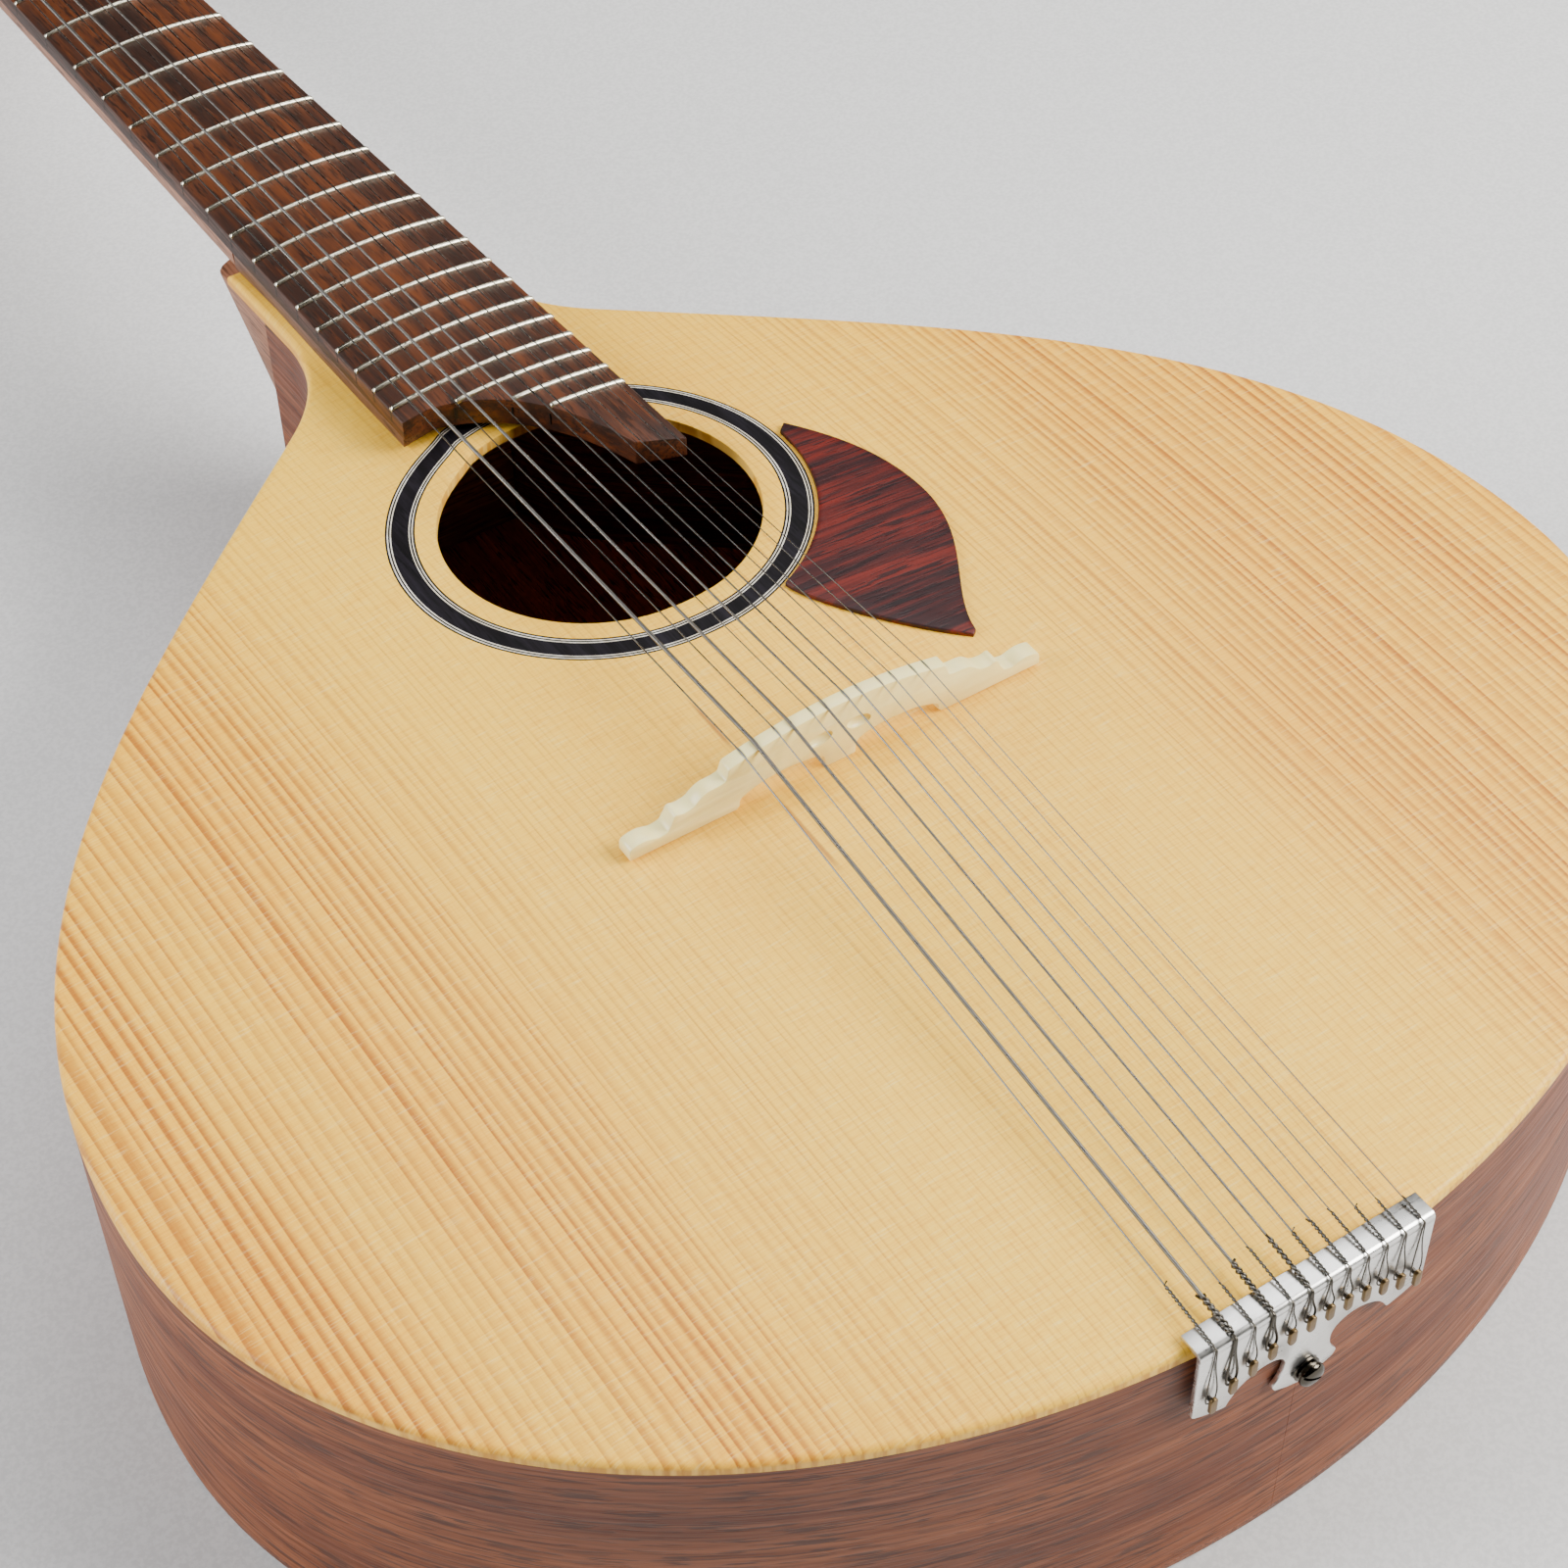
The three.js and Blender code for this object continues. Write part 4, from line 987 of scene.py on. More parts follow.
class GUITAR_OT_neck(bpy.types.Operator):
    """Neck shaft and heel"""
    bl_idname = "guitar.neck"
    bl_label = "Neck"

    def execute(self, context):
        low, high = TOP_END_Y + 0.3 * MM, NUT_Y + 6 * MM
        rings = []
        for k in range(17):
            share = k / 16
            y = lerp(low, high, share)
            half = board_half(y) - 0.2 * MM
            top = edge_line(y) - BOARD_THICK - 0.05 * MM
            depth = lerp(17, 13, share) * MM
            rings.append([Vector((half * c, y, top - s ** 0.8 * depth)) for c, s in arc(0, math.pi, 20)])
        shaft = ringed("neck_shaft", rings)
        smooth(shaft, 50)
        top = rim_z(TOP_END_Y) - TOP_THICK - 0.3 * MM
        start = RIB_END_Y + 0.1 * MM
        rings = []
        for k in range(19):
            level = (k / 18) ** 1.3
            z = lerp(top, 1 * MM, level)
            half = lerp(WAIST - 0.5 * MM, 15 * MM, level ** 1.6)
            corner = start + 1 * MM + 26 * MM * (1 - level) ** 3.2
            nose = corner + lerp(8, 5, level) * MM
            curve = arc(0, math.pi, 16)
            front = [Vector((half * c, lerp(corner, nose, s ** 0.7), z)) for c, s in curve]
            rings.append([Vector((half, start, z))] + front + [Vector((-half, start, z))])
        heel = ringed("neck_heel", rings)
        add_bevel(heel, 0.8 * MM, 2, 60)
        smooth(heel, 50)
        neck = joined("neck_and_heel", [shaft, heel])
        finished(neck, FINISH["neck"], ROOT, "neck_wood", "neck")
        return {"FINISHED"}


class GUITAR_OT_head(bpy.types.Operator):
    """Head with its teardrop end, nut, tuner plate and rail"""
    bl_idname = "guitar.head"
    bl_label = "Head and nut"

    def execute(self, context):
        for node, name, width, segments, finish, slot in (
                ("head", "head_wood", 0.8, 3, "neck", "neck_wood"),
                ("nut", "nut_bone", 0.4, 2, "bone", "bone"),
                ("tuner_plate", "fan_plate", 0.3, 2, "nickel", "nickel"),
                ("tuner_rail", "fan_rail", 0.35, 2, "nickel", "nickel")):
            piece = refined(node, name, width * MM, segments)
            finished(piece, FINISH[finish], ROOT, slot, node)
        return {"FINISHED"}


BRIDGE_CREST = 17.4 * MM
BRIDGE_HALF = 56 * MM
BRIDGE_SKEW = math.radians(-0.8)
BRIDGE_BACK = 1.8 * MM
BRIDGE_BASE = BODY_TOP + DOME + 0.1 * MM
DIMPLE_AT = (5.2 * MM, -2.2 * MM, 9.4 * MM)
DIMPLE_RADII = (3.3 * MM, 1.2 * MM, 1.75 * MM)
DIMPLE_TILT = 0.12
FOOT_THICK = 5.0 * MM
CREST_THICK = 3.6 * MM


def course_x(i, pitch, pair):
    course = i // 2 - (COURSES - 1) / 2
    return course * pitch + (-pair / 2 if i % 2 == 0 else pair / 2)


def bridge_x(i):
    return course_x(i, 9.25 * MM, 3.6 * MM)


def nut_x(i):
    return course_x(i, 7.0 * MM, 2.4 * MM)


OUTER_STRING = bridge_x(STRINGS - 1)


def crest_z(x):
    return BRIDGE_CREST - 2.8 * MM * (x / OUTER_STRING) ** 2


def rounded(points, steps=4):
    """A smooth line through points."""
    result = []
    last = len(points) - 1
    for i in range(last):
        p0, p1 = points[max(i - 1, 0)], points[i]
        p2, p3 = points[i + 1], points[min(i + 2, last)]
        for k in range(steps):
            t = k / steps
            result.append(0.5 * ((2 * p1) + (p2 - p0) * t + (2 * p0 - 5 * p1 + 4 * p2 - p3) * t * t
                                 + (3 * p1 - p0 - 3 * p2 + p3) * t ** 3))
    result.append(points[last])
    return result


class GUITAR_OT_bridge(bpy.types.Operator):
    """Arched bone bridge with stepped wings and two carved dimples"""
    bl_idname = "guitar.bridge"
    bl_label = "Bridge"

    def execute(self, context):
        crest_end = OUTER_STRING + 4.5 * MM

        # Heights are shares of the crest's height. Across, the arch has shares of half the bridge's
        # length, and the wing has shares of the way from the crest's end to the tip.
        def arch(points):
            return [Vector((x * BRIDGE_HALF, z * BRIDGE_CREST)) for x, z in points]

        def wing(points):
            return [Vector((lerp(crest_end, BRIDGE_HALF, x), z * BRIDGE_CREST)) for x, z in points]

        line = arch([(0, 0), (0.07, 0)])
        line += rounded(arch([(0.075, 0.03), (0.082, 0.184), (0.125, 0.264), (0.25, 0.31), (0.375, 0.276),
                              (0.462, 0.185), (0.482, 0.125), (0.484, 0.05)]), 3)
        line += arch([(0.5, 0)]) + wing([(1, 0)])
        line += rounded(wing([(1, 0.12), (0.985, 0.185), (0.93, 0.222), (0.84, 0.235), (0.76, 0.205),
                              (0.70, 0.178), (0.625, 0.2)]), 3)
        line += rounded(wing([(0.61, 0.215), (0.565, 0.34), (0.545, 0.41)]), 2)
        line += rounded(wing([(0.52, 0.425), (0.46, 0.395), (0.38, 0.41), (0.34, 0.44)]), 2)
        line += rounded(wing([(0.325, 0.46), (0.27, 0.53), (0.20, 0.57), (0.1, 0.575), (0.03, 0.60)]), 2)
        line += [Vector((crest_end, crest_z(crest_end) - 0.2 * MM))]
        steps = 10
        for k in range(steps + 1):
            x = lerp(crest_end - 0.6 * MM, 0, k / steps)
            line.append(Vector((x, crest_z(x))))
        line += mirrored(line)

        def face(side):
            points = []
            for p in line:
                thick = lerp(FOOT_THICK, CREST_THICK, min(max(p.y / BRIDGE_CREST, 0), 1))
                points.append(Vector((p.x, side * thick / 2, p.y)))
            return points

        piece = ringed("bone_bridge", [face(-1), face(1)])
        add_bevel(piece, 0.3 * MM, 2, 30)
        for side in (-1, 1):
            bpy.ops.mesh.primitive_uv_sphere_add(segments=32, ring_count=16, radius=1.0)
            tool = bpy.context.object
            x, y, z = DIMPLE_AT
            spot = Matrix.Translation((side * x, y, z)) @ Matrix.Rotation(side * DIMPLE_TILT, 4, "Y")
            tool.data.transform(spot @ Matrix.Diagonal((*DIMPLE_RADII, 1)))
            carved(piece, tool)
        for i in range(STRINGS):
            notch = (bridge_x(i), 0, crest_z(bridge_x(i)) + 0.22 * MM)
            carved(piece, rod(0.42 * MM, 12 * MM, notch))
        place = Matrix.Translation((0, -BRIDGE_BACK, BRIDGE_BASE)) @ Matrix.Rotation(BRIDGE_SKEW, 4, "Z")
        piece.data.transform(place)
        smooth(piece, 30)
        finished(piece, FINISH["bone"], ROOT, "bone", "bridge")
        return {"FINISHED"}


class GUITAR_OT_pickguard(bpy.types.Operator):
    """Leaf-shaped guard that lies on the dome"""
    bl_idname = "guitar.pickguard"
    bl_label = "Pickguard"

    def execute(self, context):
        # The outline is drawn in shares of the distance from the soundhole's middle to the guard.
        radius = sizes().rosette_outer + 0.9 * MM
        line = [Vector(pair) for pair in arc(0.01, -1.15, 40)]
        tip = Vector((0.902, -1.651))
        line += bezier(line[-1], Vector((0.418, -1.044)), Vector((0.665, -1.433)), tip, 24)
        turn = Vector((0.928, -1.632))
        line += bezier(tip, tip.lerp(turn, 0.3), tip.lerp(turn, 0.7), turn, 2)
        side = Vector((1.298, -0.712))
        line += bezier(turn, Vector((0.98, -1.359)), Vector((1.294, -1.118)), side, 26)
        line += bezier(side, Vector((1.299, -0.379)), Vector((1.183, -0.157)), Vector((1.046, 0.05)), 22)
        line = [p * radius + Vector((0, HOLE_Y)) for p in line]
        middle = Vector((0.052, HOLE_Y - 0.038))
        thick = 1.25 * MM

        def at(share, rise):
            moved = [p.lerp(middle, share) for p in line]
            return [Vector((q.x, q.y, dome_z(q.x, q.y) + rise)) for q in moved]

        clear = 0.05 * MM
        rings = [at(0.25, clear), at(0, clear), at(0, thick - 0.3 * MM), at(0.006, thick - 0.06 * MM)]
        rings += [at(share, thick) for share in (0.016, 0.12, 0.35, 0.6, 0.85, 0.97)]
        piece = ringed("leaf_guard", rings)
        smooth(piece, 40)
        finished(piece, FINISH["guard"], ROOT, "guard_wood", "pickguard")
        return {"FINISHED"}


# ---- tailpiece ----------------------------------------------------------------------------------
TAIL_HALF = 30.5 * MM
TAIL_PLATE = 1.3 * MM
FLANGE_TOP = BODY_TOP + 0.8 * MM + TAIL_PLATE
PLATE_FRONT = TAIL_Y - 0.3 * MM - TAIL_PLATE
FLANGE_BACK = PLATE_FRONT + 5.2 * MM + TAIL_PLATE
SCREW_Z = BODY_TOP - 27.8 * MM
TONGUE_PITCH = 2 * (TAIL_HALF - 3.55 * MM) / (STRINGS - 1)
FLANGE_DROP = 2.4 * MM


def tongue_x(i):
    return (i - (STRINGS - 1) / 2) * TONGUE_PITCH


def tongue_z(i):
    share = tongue_x(i) / tongue_x(STRINGS - 1)
    return FLANGE_TOP - (8.6 + 8.4 * share ** 2) * MM


class GUITAR_OT_tailpiece(bpy.types.Operator):
    """Bent nickel plate with scalloped lower edge, twelve brass tongues and the end screw"""
    bl_idname = "guitar.tailpiece"
    bl_label = "Tailpiece"

    def execute(self, context):
        sheet = joined("tail_plate", [self.plate(), self.flange()])
        finished(sheet, FINISH["nickel"], ROOT, "nickel", "tailpiece")
        tongues, arms = [], []
        for i in range(STRINGS):
            tongues.append(self.tongue(i))
            arms.append(self.arm(i))
        finished(joined("tail_tongues", tongues), FINISH["brass"], ROOT, "brass")
        finished(joined("tail_hooks", arms), FINISH["hooks"], ROOT, "nickel")
        self.screw()
        return {"FINISHED"}

    def plate(self):
        # Millimetres from the middle and below the flange's top.
        def at(points):
            return [Vector((x * MM, FLANGE_TOP - drop * MM)) for x, drop in points]

        line = at([(0, 2.2), (30.5, 2.2), (30.5, 22.0)])
        line += rounded(at([(29.8, 22.6), (26, 24.4), (22.4, 25.6), (21.4, 25.7)]), 3)
        line += rounded(at([(20.7, 24.3), (18.6, 21.6), (15.4, 19.7), (12.2, 19.0), (9.4, 19.4),
                            (7.2, 20.8), (6.1, 23.0), (6.2, 25.6), (7.0, 28.0), (8.4, 30.2), (8.0, 31.6)]), 4)
        line += at([(7.6, 32.2), (4.0, 33.8), (0, 34.9)])
        line += mirrored(line)

        def face(y):
            return [Vector((p.x, y, p.y)) for p in line]

        piece = ringed("plate", [face(PLATE_FRONT + 0.01 * MM), face(PLATE_FRONT + TAIL_PLATE)])
        carved(piece, rod(2.1 * MM, 20 * MM, (0, PLATE_FRONT, SCREW_Z), 40))
        add_bevel(piece, 0.18 * MM, 2, 35)
        smooth(piece, 30)
        return piece

    def flange(self):
        bend = 1.5 * MM
        outer = [(FLANGE_BACK, FLANGE_TOP)]
        for c, s in arc(0, math.pi / 2, 8):
            outer.append((PLATE_FRONT + bend * (1 - s), FLANGE_TOP - bend * (1 - c)))
        back, under, low = PLATE_FRONT + TAIL_PLATE, FLANGE_TOP - TAIL_PLATE, FLANGE_TOP - FLANGE_DROP
        outer.append((PLATE_FRONT, low))
        inside = [(back, low), (back, under), (FLANGE_BACK, under)]
        section = outer + inside
        rings = [[Vector((x, y, z)) for y, z in section] for x in (-TAIL_HALF, 0, TAIL_HALF)]
        piece = ringed("flange", rings)
        add_bevel(piece, 0.15 * MM, 2, 50)
        smooth(piece, 40)
        return piece

    def tongue(self, i):
        half, height, thick = 0.98 * MM, 5.0 * MM, 0.95 * MM
        centre_z = tongue_z(i) - 1.0 * MM
        straight = height / 2 - half
        outline = [(half * c, half * s + straight) for c, s in arc(0, math.pi, 8)]
        outline += [(half * c, half * s - straight) for c, s in arc(math.pi, 2 * math.pi, 8)]
        y = PLATE_FRONT - 1.15 * MM
        rings = []
        for offset in (0.0, -thick):
            rings.append([Vector((tongue_x(i) + x, y + offset, centre_z + z)) for x, z in outline])
        piece = ringed(f"tongue_{i + 1}", rings)
        add_bevel(piece, 0.22 * MM, 3, 40)
        smooth(piece, 40)
        return piece

    def arm(self, i):
        x, z = tongue_x(i), tongue_z(i)
        points = [Vector((x, PLATE_FRONT + 0.5 * MM, z)), Vector((x, PLATE_FRONT - 1.4 * MM, z))]
        return wire(f"arm_{i + 1}", points, 0.6 * MM, 12)

    def screw(self):
        face = PLATE_FRONT - 0.2 * MM
        shank = 1.65
        profile = [(shank, face - PLATE_FRONT - 14 * MM), (shank, 0)]
        profile += [(radius, out * MM) for radius, out in (
            (3.3, 0.0), (3.35, 0.5), (2.6, 0.8), (2.55, 1.1), (3.1, 1.3), (3.25, 1.9), (3.05, 2.5),
            (2.4, 3.0), (1.3, 3.25), (0.15, 3.3))]
        piece = lathed("end_screw", [(radius * MM, face - out) for radius, out in profile], 40, SCREW_Z)
        start_alone()
        bpy.ops.mesh.primitive_cube_add(size=1)
        tool = bpy.context.object
        turn = Matrix.Rotation(0.5, 4, "Y")
        place = Matrix.Translation((0, face - 3.3 * MM, SCREW_Z)) @ turn
        tool.data.transform(place @ Matrix.Diagonal((8 * MM, 1.6 * MM, 0.7 * MM, 1)))
        carved(piece, tool)
        smooth(piece, 35)
        finished(piece, FINISH["screw"], ROOT, "screw_steel", "tail_screw")


# ---- strings ------------------------------------------------------------------------------------
# In millimetres: each string's radius, and where on Y its twist over the soundboard ends.
RADII = [0.2, 0.5, 0.17, 0.4, 0.15, 0.3, 0.22, 0.22, 0.15, 0.15, 0.13, 0.13]
TWIST_ENDS = [-155.8, -161.5, -161.8, -159.0, -158.4, -158.7,
              -160.0, -160.0, -160.5, -162.4, -163.7, -166.3]
WOUND = (1, 3, 5)
# The tuning screws point at one place on the neck, like the ribs of a fan.
FAN_Y = NUT_Y - 75 * MM
FAN_STEP = math.radians(2.6)
HEAD_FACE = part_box("tuner_plate")[0][2] - 0.3 * MM
ROD_Z = HEAD_FACE + 6.5 * MM
HOOK_AT = 126 * MM
HOOK_LENGTH = 7 * MM
HOOK_HEIGHT = 5.4 * MM


def fan_angle(i):
    return (i - (STRINGS - 1) / 2) * FAN_STEP


def square_to(direction):
    """Two directions at right angles to another one, the first of them as near to X as it can be."""
    side = (Vector((1, 0, 0)) - direction * direction.x).normalized()
    return side, side.cross(direction)


def strand_radius(thin):
    """Radius of the wire drawn for a string's twist and loop."""
    return min(max(thin * 0.85, 0.16 * MM), 0.3 * MM)


def on_fan(radius, angle):
    return Vector((radius * math.sin(angle), FAN_Y + radius * math.cos(angle)))


class GUITAR_OT_strings(bpy.types.Operator):
    """Twelve strings with twisted loop ends"""
    bl_idname = "guitar.strings"
    bl_label = "Strings"

    def execute(self, context):
        for i in range(STRINGS):
            self.string(i)
        return {"FINISHED"}

    def string(self, i):
        thin = RADII[i] * MM
        front = Vector((tongue_x(i), PLATE_FRONT + 0.9 * MM, FLANGE_TOP + 0.35 * MM))
        crest = Vector((bridge_x(i), bridge_x(i) * math.tan(BRIDGE_SKEW) - BRIDGE_BACK,
                        BRIDGE_BASE + crest_z(bridge_x(i)) + thin - 0.12 * MM))
        nut_top = edge_line(NUT_Y) + camber(nut_x(i), NUT_Y) + 1.5 * MM
        nut = Vector((nut_x(i), NUT_Y + 2.5 * MM, nut_top + thin))
        horn = on_fan(HOOK_AT + HOOK_LENGTH / 2 - 1.7 * MM, fan_angle(i))
        end = Vector((horn.x, horn.y, ROD_Z + HOOK_HEIGHT / 2 + 1.3 * MM))
        lead = 0.8 * MM
        before = crest - (crest - front).normalized() * lead
        after = crest + (nut - crest).normalized() * lead
        dip = Vector((0, 0, -0.02 * MM))
        path = [front, before + dip, crest, after]
        path += [crest.lerp(nut, share) for share in (0.35, 0.7, 0.97)] + [nut + dip]
        path += [nut.lerp(end, share) for share in (0.1, 0.3, 0.5, 0.7, 0.85)] + [end]
        main = self.tube(f"string_core_{i + 1}", path, thin)
        finished(main, FINISH["wound" if i in WOUND else "wire"], None, "string_steel")
        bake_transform(main)
        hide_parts(f"string_{i + 1}")
        tail = self.tail_end(i, front, crest, thin)
        finished(tail, FINISH["twist"], ROOT, "string_steel")
        smooth(tail, 60)
        loop = self.head_loop(i, end, thin)
        finished(loop, FINISH["twist"], f"hook_{i + 1}", "string_steel")
        smooth(loop, 60)

    def tube(self, name, path, radius):
        rings = []
        for k, point in enumerate(path):
            into = path[min(k + 1, len(path) - 1)] - path[max(k - 1, 0)]
            side, up = square_to(into.normalized())
            rings.append([point + side * radius * c + up * radius * s for c, s in circle(12)])
        piece = ringed(name, rings)
        smooth(piece, 60)
        return piece

    def tail_end(self, i, front, crest, thin):
        """Two strands twisted together, their cut end, and the loop that goes round the tongue."""
        strand = strand_radius(thin)
        along = crest - front
        total = (TWIST_ENDS[i] * MM - front.y) / along.y * along.length
        along.normalize()
        side, up = square_to(along)
        pitch = sizes().twist_pitch * (1.35 if i in WOUND else 1.0)
        parts = []
        for half_turn in (0, math.pi):
            points = []
            steps = max(int(total / pitch * 9), 8)
            for k in range(steps + 1):
                run = total * k / steps
                angle = half_turn + 2 * math.pi * run / pitch + i
                out = 0.75 * (thin + strand)
                turned = side * math.cos(angle) + up * math.sin(angle)
                points.append(front + along * run + turned * out)
            if half_turn == 0:
                astray = side * math.cos(i * 2.1) + up * 0.6 + along * 0.5
                points.append(points[-1] + astray.normalized() * 1.1 * MM)
            parts.append(wire(f"strand_{i + 1}", points, strand))
        x, z = tongue_x(i), tongue_z(i)
        y0, y1 = PLATE_FRONT - 0.35 * MM, PLATE_FRONT - 0.75 * MM
        top_z = FLANGE_TOP - 0.6 * MM
        spread = 1.3 * MM
        low = z - 1.0 * MM - strand
        level = FLANGE_TOP + 0.1 * MM
        narrow, wide = lerp(top_z, z, 0.35), lerp(top_z, z, 0.78)
        side_path = [(0.5 * MM, y0, narrow), (spread, y1, wide), (spread * 0.95, y1, z),
                     (spread * 0.5, y1, low + 0.2 * MM)]
        path = [front, Vector((x, PLATE_FRONT - 0.05 * MM, level)), Vector((x - 0.2 * MM, y0, top_z))]
        path += [Vector((x - out, y, height)) for out, y, height in side_path] + [Vector((x, y1, low))]
        path += [Vector((x + out, y, height)) for out, y, height in reversed(side_path)]
        path += [Vector((x + 0.2 * MM, y0, top_z)), Vector((x + 0.1 * MM, PLATE_FRONT, level)), front]
        parts.append(wire(f"loop_{i + 1}", rounded(path, 4), strand))
        return joined(f"string_tail_{i + 1}", parts)

    def head_loop(self, i, end, thin):
        """The loop on the hook's horn."""
        strand = strand_radius(thin)
        angle = fan_angle(i)
        out = Vector((math.sin(angle), math.cos(angle), 0))
        side = Vector((math.cos(angle), -math.sin(angle), 0))
        points = []
        for c, s in arc(0, 2 * math.pi, 16):
            points.append(end + out * (0.1 * MM - 1.25 * MM * c) + side * 1.15 * MM * s)
        return wire(f"string_loop_{i + 1}", points, strand)


# ---- tuning machine -----------------------------------------------------------------------------
class GUITAR_OT_tuners(bpy.types.Operator):
    """Twelve tuning screws with their grips and hooks"""
    bl_idname = "guitar.tuners"
    bl_label = "Tuning machine"

    def execute(self, context):
        knob = self.knob()
        hook = self.hook()
        for i in range(STRINGS):
            turn = Matrix.Translation((0, FAN_Y, ROD_Z)) @ Matrix.Rotation(-fan_angle(i), 4, "Z")
            for master, label, slide in ((knob, "knob", 0.0), (hook, "hook", HOOK_AT)):
                piece = linked(f"{label}_metal_{i + 1}", master.data.copy())
                piece.data.name = piece.name
                piece.data.transform(turn @ Matrix.Translation((0, slide, 0)))
                finished(piece, FINISH["brass"], f"{label}_{i + 1}", "brass", f"tuner_{label}_{i + 1}")
        bpy.data.objects.remove(knob)
        bpy.data.objects.remove(hook)
        return {"FINISHED"}

    def knob(self):
        rail_out = 168 * MM
        # One ridge stands for two turns of the thread.
        pitch = sizes().thread_pitch * 2
        start, stop = 101 * MM, rail_out - 8 * MM
        profile = [(1.0 * MM, start)]
        for k in range(int((stop - start) / pitch)):
            y = start + k * pitch
            profile += [(1.35 * MM, y + pitch * 0.15), (1.6 * MM, y + pitch * 0.6)]
        profile += [(1.58 * MM, stop), (1.58 * MM, rail_out + 0.5 * MM)]
        shaft = lathed("rod", profile, 14)
        base = rail_out + 0.3 * MM
        collar = lathed("collar", [(r * MM, base + y * MM) for r, y in (
            (1.5, 0), (2.5, 0), (2.8, 0.3), (2.8, 0.9), (2.3, 1.2), (2.3, 1.5), (2.75, 1.8), (2.75, 2.6),
            (2.2, 3.0), (1.2, 3.05))], 28)
        half_width, half_length = 3.5 * MM, 5.5 * MM
        centre = base + 3 * MM + half_length - 0.8 * MM
        outline = [(half_width * c, half_length * s) for c, s in circle(40)]
        rings = []
        for share, z in ((0.62, -0.55), (0.9, -1.0), (0.97, -0.9), (1.0, -0.55),
                         (1.0, 0.55), (0.97, 0.9), (0.9, 1.0), (0.62, 0.55)):
            rings.append([Vector((x * share, centre + y * share, z * MM)) for x, y in outline])
        grip = ringed("grip", rings)
        piece = joined("knob_master", [shaft, collar, grip])
        smooth(piece, 40)
        return piece

    def hook(self):
        gap = 1.9 * MM
        width = HOOK_AT * FAN_STEP - gap
        start_alone()
        bpy.ops.mesh.primitive_cube_add(size=1)
        block = bpy.context.object
        shape = Matrix.Diagonal((width, HOOK_LENGTH, HOOK_HEIGHT, 1))
        block.data.transform(Matrix.Translation((0, 0, 0.1 * MM)) @ shape)
        add_bevel(block, 0.6 * MM, 3)
        y = HOOK_LENGTH / 2 - 1.6 * MM
        top = HOOK_HEIGHT / 2
        horn_path = [Vector((0, y + out * MM, top + up * MM)) for out, up in (
            (0, -1), (0, 0.7), (0.15, 1.4), (0.5, 1.85))]
        horn = wire("horn", rounded(horn_path, 4), 0.55 * MM, 12)
        carved(block, rod(1.72 * MM, 20 * MM, (0, 0, 0), 28))
        piece = joined("hook_master", [block, horn])
        smooth(piece, 35)
        return piece


# ---- stage --------------------------------------------------------------------------------------
def area_light(name, place, target, size, power, tone=(1, 1, 1)):
    data = bpy.data.lights.new(name, "AREA")
    data.shape = "RECTANGLE"
    data.size, data.size_y = size
    data.energy = power
    data.color = tone
    lamp = linked(name, data)
    lamp.location = place
    lamp.rotation_euler = (Vector(target) - Vector(place)).to_track_quat("-Z", "Y").to_euler()


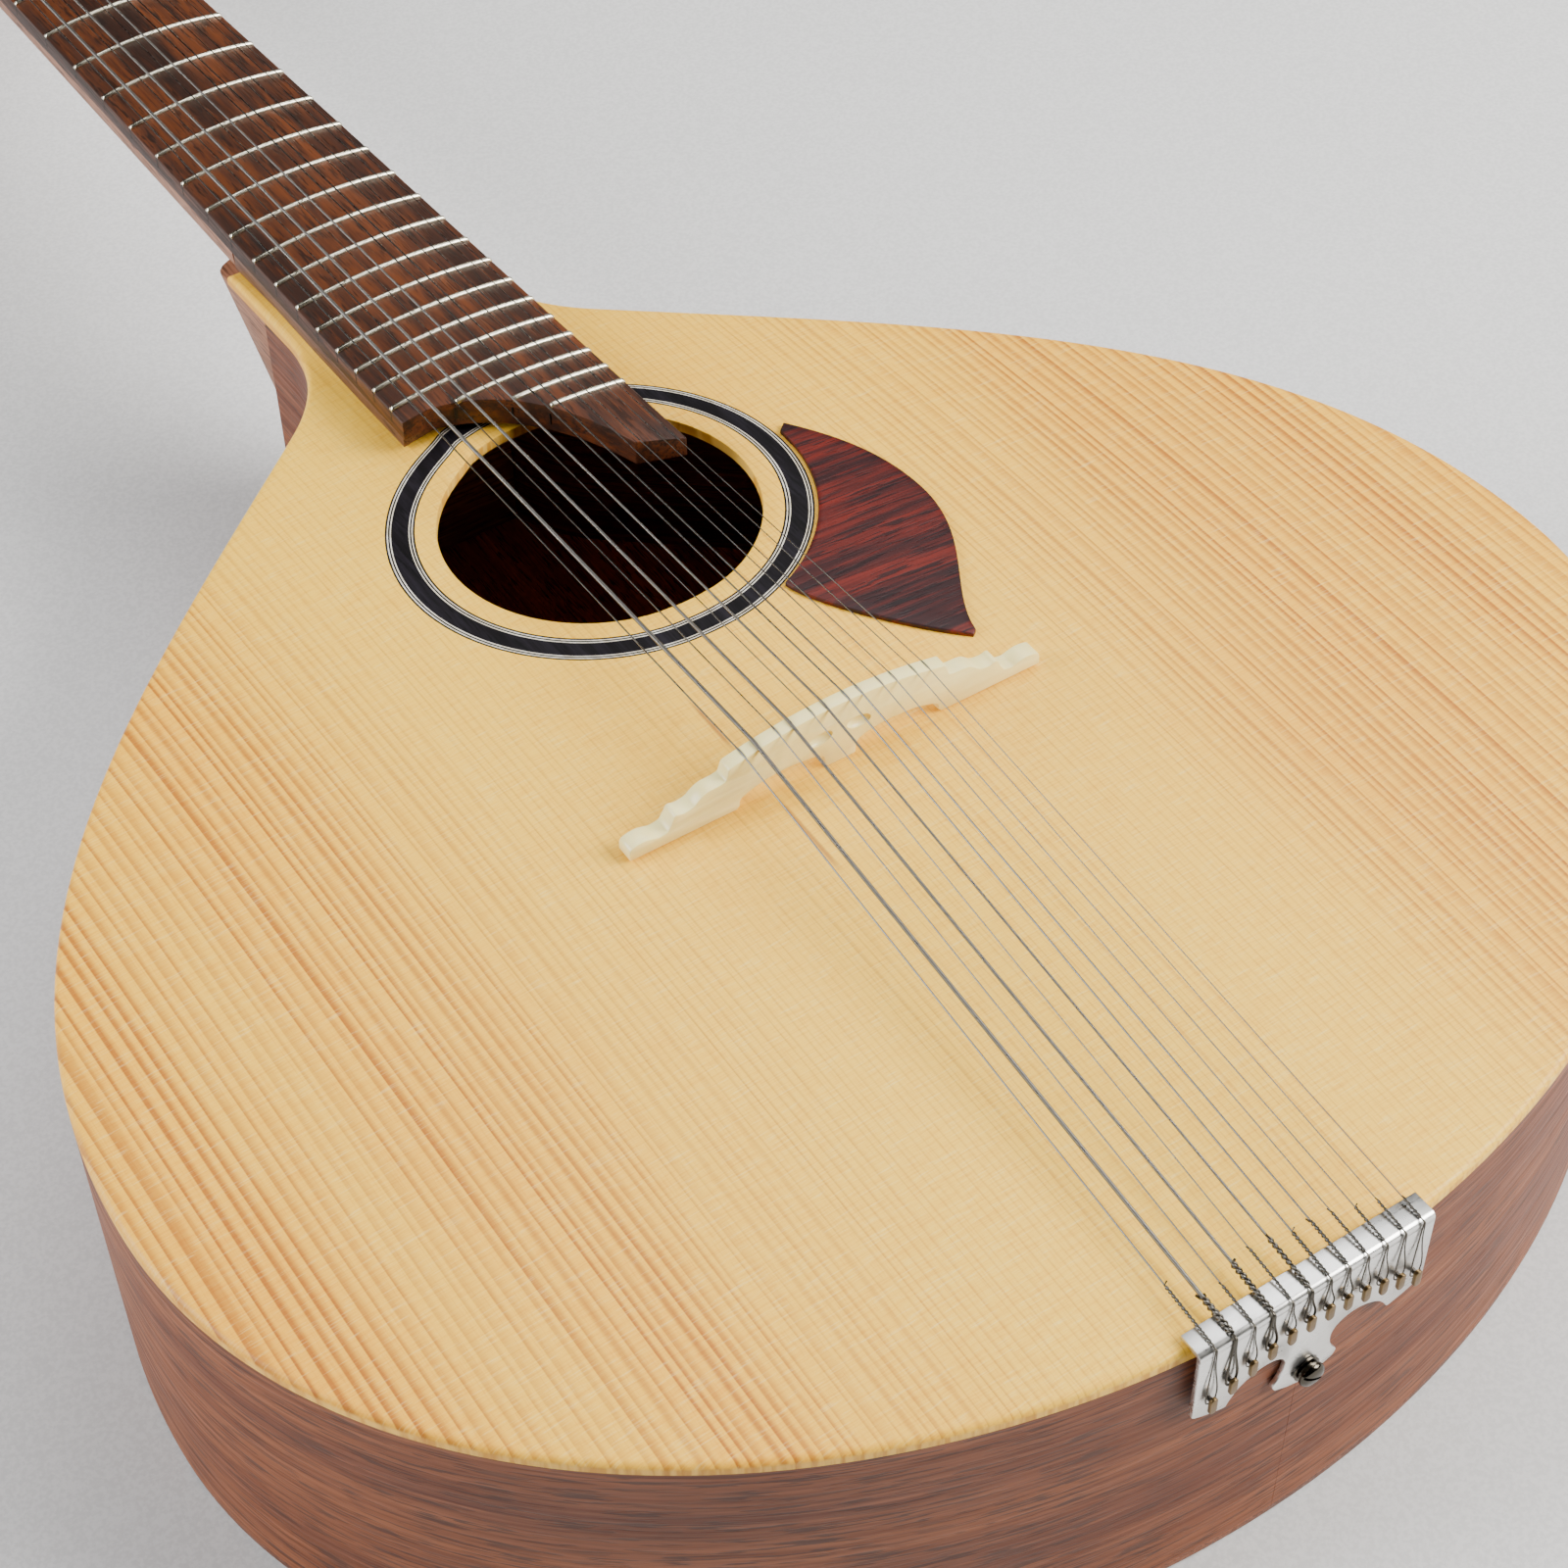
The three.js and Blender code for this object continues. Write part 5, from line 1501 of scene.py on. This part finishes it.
class GUITAR_OT_stage(bpy.types.Operator):
    """Pale floor, soft studio lights and the camera"""
    bl_idname = "guitar.stage"
    bl_label = "Floor, lights and camera"

    def execute(self, context):
        start_alone()
        bpy.ops.mesh.primitive_plane_add(size=12)
        floor = bpy.context.object
        floor.name = "floor"
        floor.data.transform(Matrix.Translation((0, 0, -0.0005)))
        r = Recipe("floor_paper", roughness=0.9, specular=0.1)
        grain = r.noise(r.scaled(r.place(), (900, 900, 900)), detail=2)
        r.colour(r.mix(r.span(grain, 0.35, 0.65), (0.62, 0.62, 0.62, 1), (0.70, 0.70, 0.70, 1)))
        floor.data.materials.append(r.material)

        area_light("key", (1.35, -0.95, 1.25), (0.0, -0.02, 0.06), (1.2, 1.2), 94, (1.0, 0.98, 0.94))
        area_light("left", (-1.5, 0.7, 0.85), (0.0, 0.05, 0.05), (0.9, 1.3), 50, (0.98, 0.99, 1.0))
        area_light("above", (0.75, 0.5, 1.8), (0.0, -0.1, 0.09), (1.5, 1.5), 26)

        data = bpy.data.cameras.new("camera")
        data.lens = 72.78
        data.sensor_width = 36
        data.shift_x = 0.00524
        data.shift_y = 0.0005
        data.clip_start = 0.02
        camera = linked("camera", data)
        place = Vector((-0.28291, -0.41084, 0.62032))
        aim = Vector((-0.01371, 0.00198, 0.09))
        roll = Matrix.Rotation(math.radians(-1.026), 4, "Z")
        turn = (aim - place).to_track_quat("-Z", "Y").to_matrix().to_4x4() @ roll
        camera.matrix_world = Matrix.Translation(place) @ turn
        bpy.context.scene.camera = camera
        return {"FINISHED"}


class GUITAR_PT_panel(bpy.types.Panel):
    """Lists the pieces of the guitar"""
    bl_idname = "GUITAR_PT_panel"
    bl_label = "Portuguese guitar"
    bl_space_type = "VIEW_3D"
    bl_region_type = "UI"
    bl_category = "Guitar"

    def draw(self, context):
        layout = self.layout
        for name in GuitarSizes.__annotations__:
            layout.prop(context.scene.guitar_sizes, name)
        for name in GuitarColours.__annotations__:
            layout.prop(context.scene.guitar_colours, name)
        for operator in OPERATORS:
            layout.operator(operator.bl_idname)


OPERATORS = (
    GUITAR_OT_soundboard, GUITAR_OT_rosette, GUITAR_OT_case, GUITAR_OT_inside, GUITAR_OT_fingerboard,
    GUITAR_OT_neck, GUITAR_OT_head, GUITAR_OT_bridge, GUITAR_OT_pickguard, GUITAR_OT_tailpiece,
    GUITAR_OT_strings, GUITAR_OT_tuners, GUITAR_OT_stage,
)
CLASSES = (GuitarSizes, GuitarColours, *OPERATORS, GUITAR_PT_panel)


def register():
    for item in CLASSES:
        bpy.utils.register_class(item)
    bpy.types.Scene.guitar_sizes = PointerProperty(type=GuitarSizes)
    bpy.types.Scene.guitar_colours = PointerProperty(type=GuitarColours)


def unregister():
    del bpy.types.Scene.guitar_colours
    del bpy.types.Scene.guitar_sizes
    for item in reversed(CLASSES):
        bpy.utils.unregister_class(item)


def main():
    register()
    FINISH.update(make_materials())
    bpy.ops.guitar.soundboard()
    bpy.ops.guitar.rosette()
    bpy.ops.guitar.case()
    bpy.ops.guitar.inside()
    bpy.ops.guitar.fingerboard()
    bpy.ops.guitar.neck()
    bpy.ops.guitar.head()
    bpy.ops.guitar.bridge()
    bpy.ops.guitar.pickguard()
    bpy.ops.guitar.tailpiece()
    bpy.ops.guitar.strings()
    bpy.ops.guitar.tuners()
    bpy.ops.guitar.stage()
    write_sizes()


def write_sizes():
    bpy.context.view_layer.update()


if __name__ == "__main__":
    main()
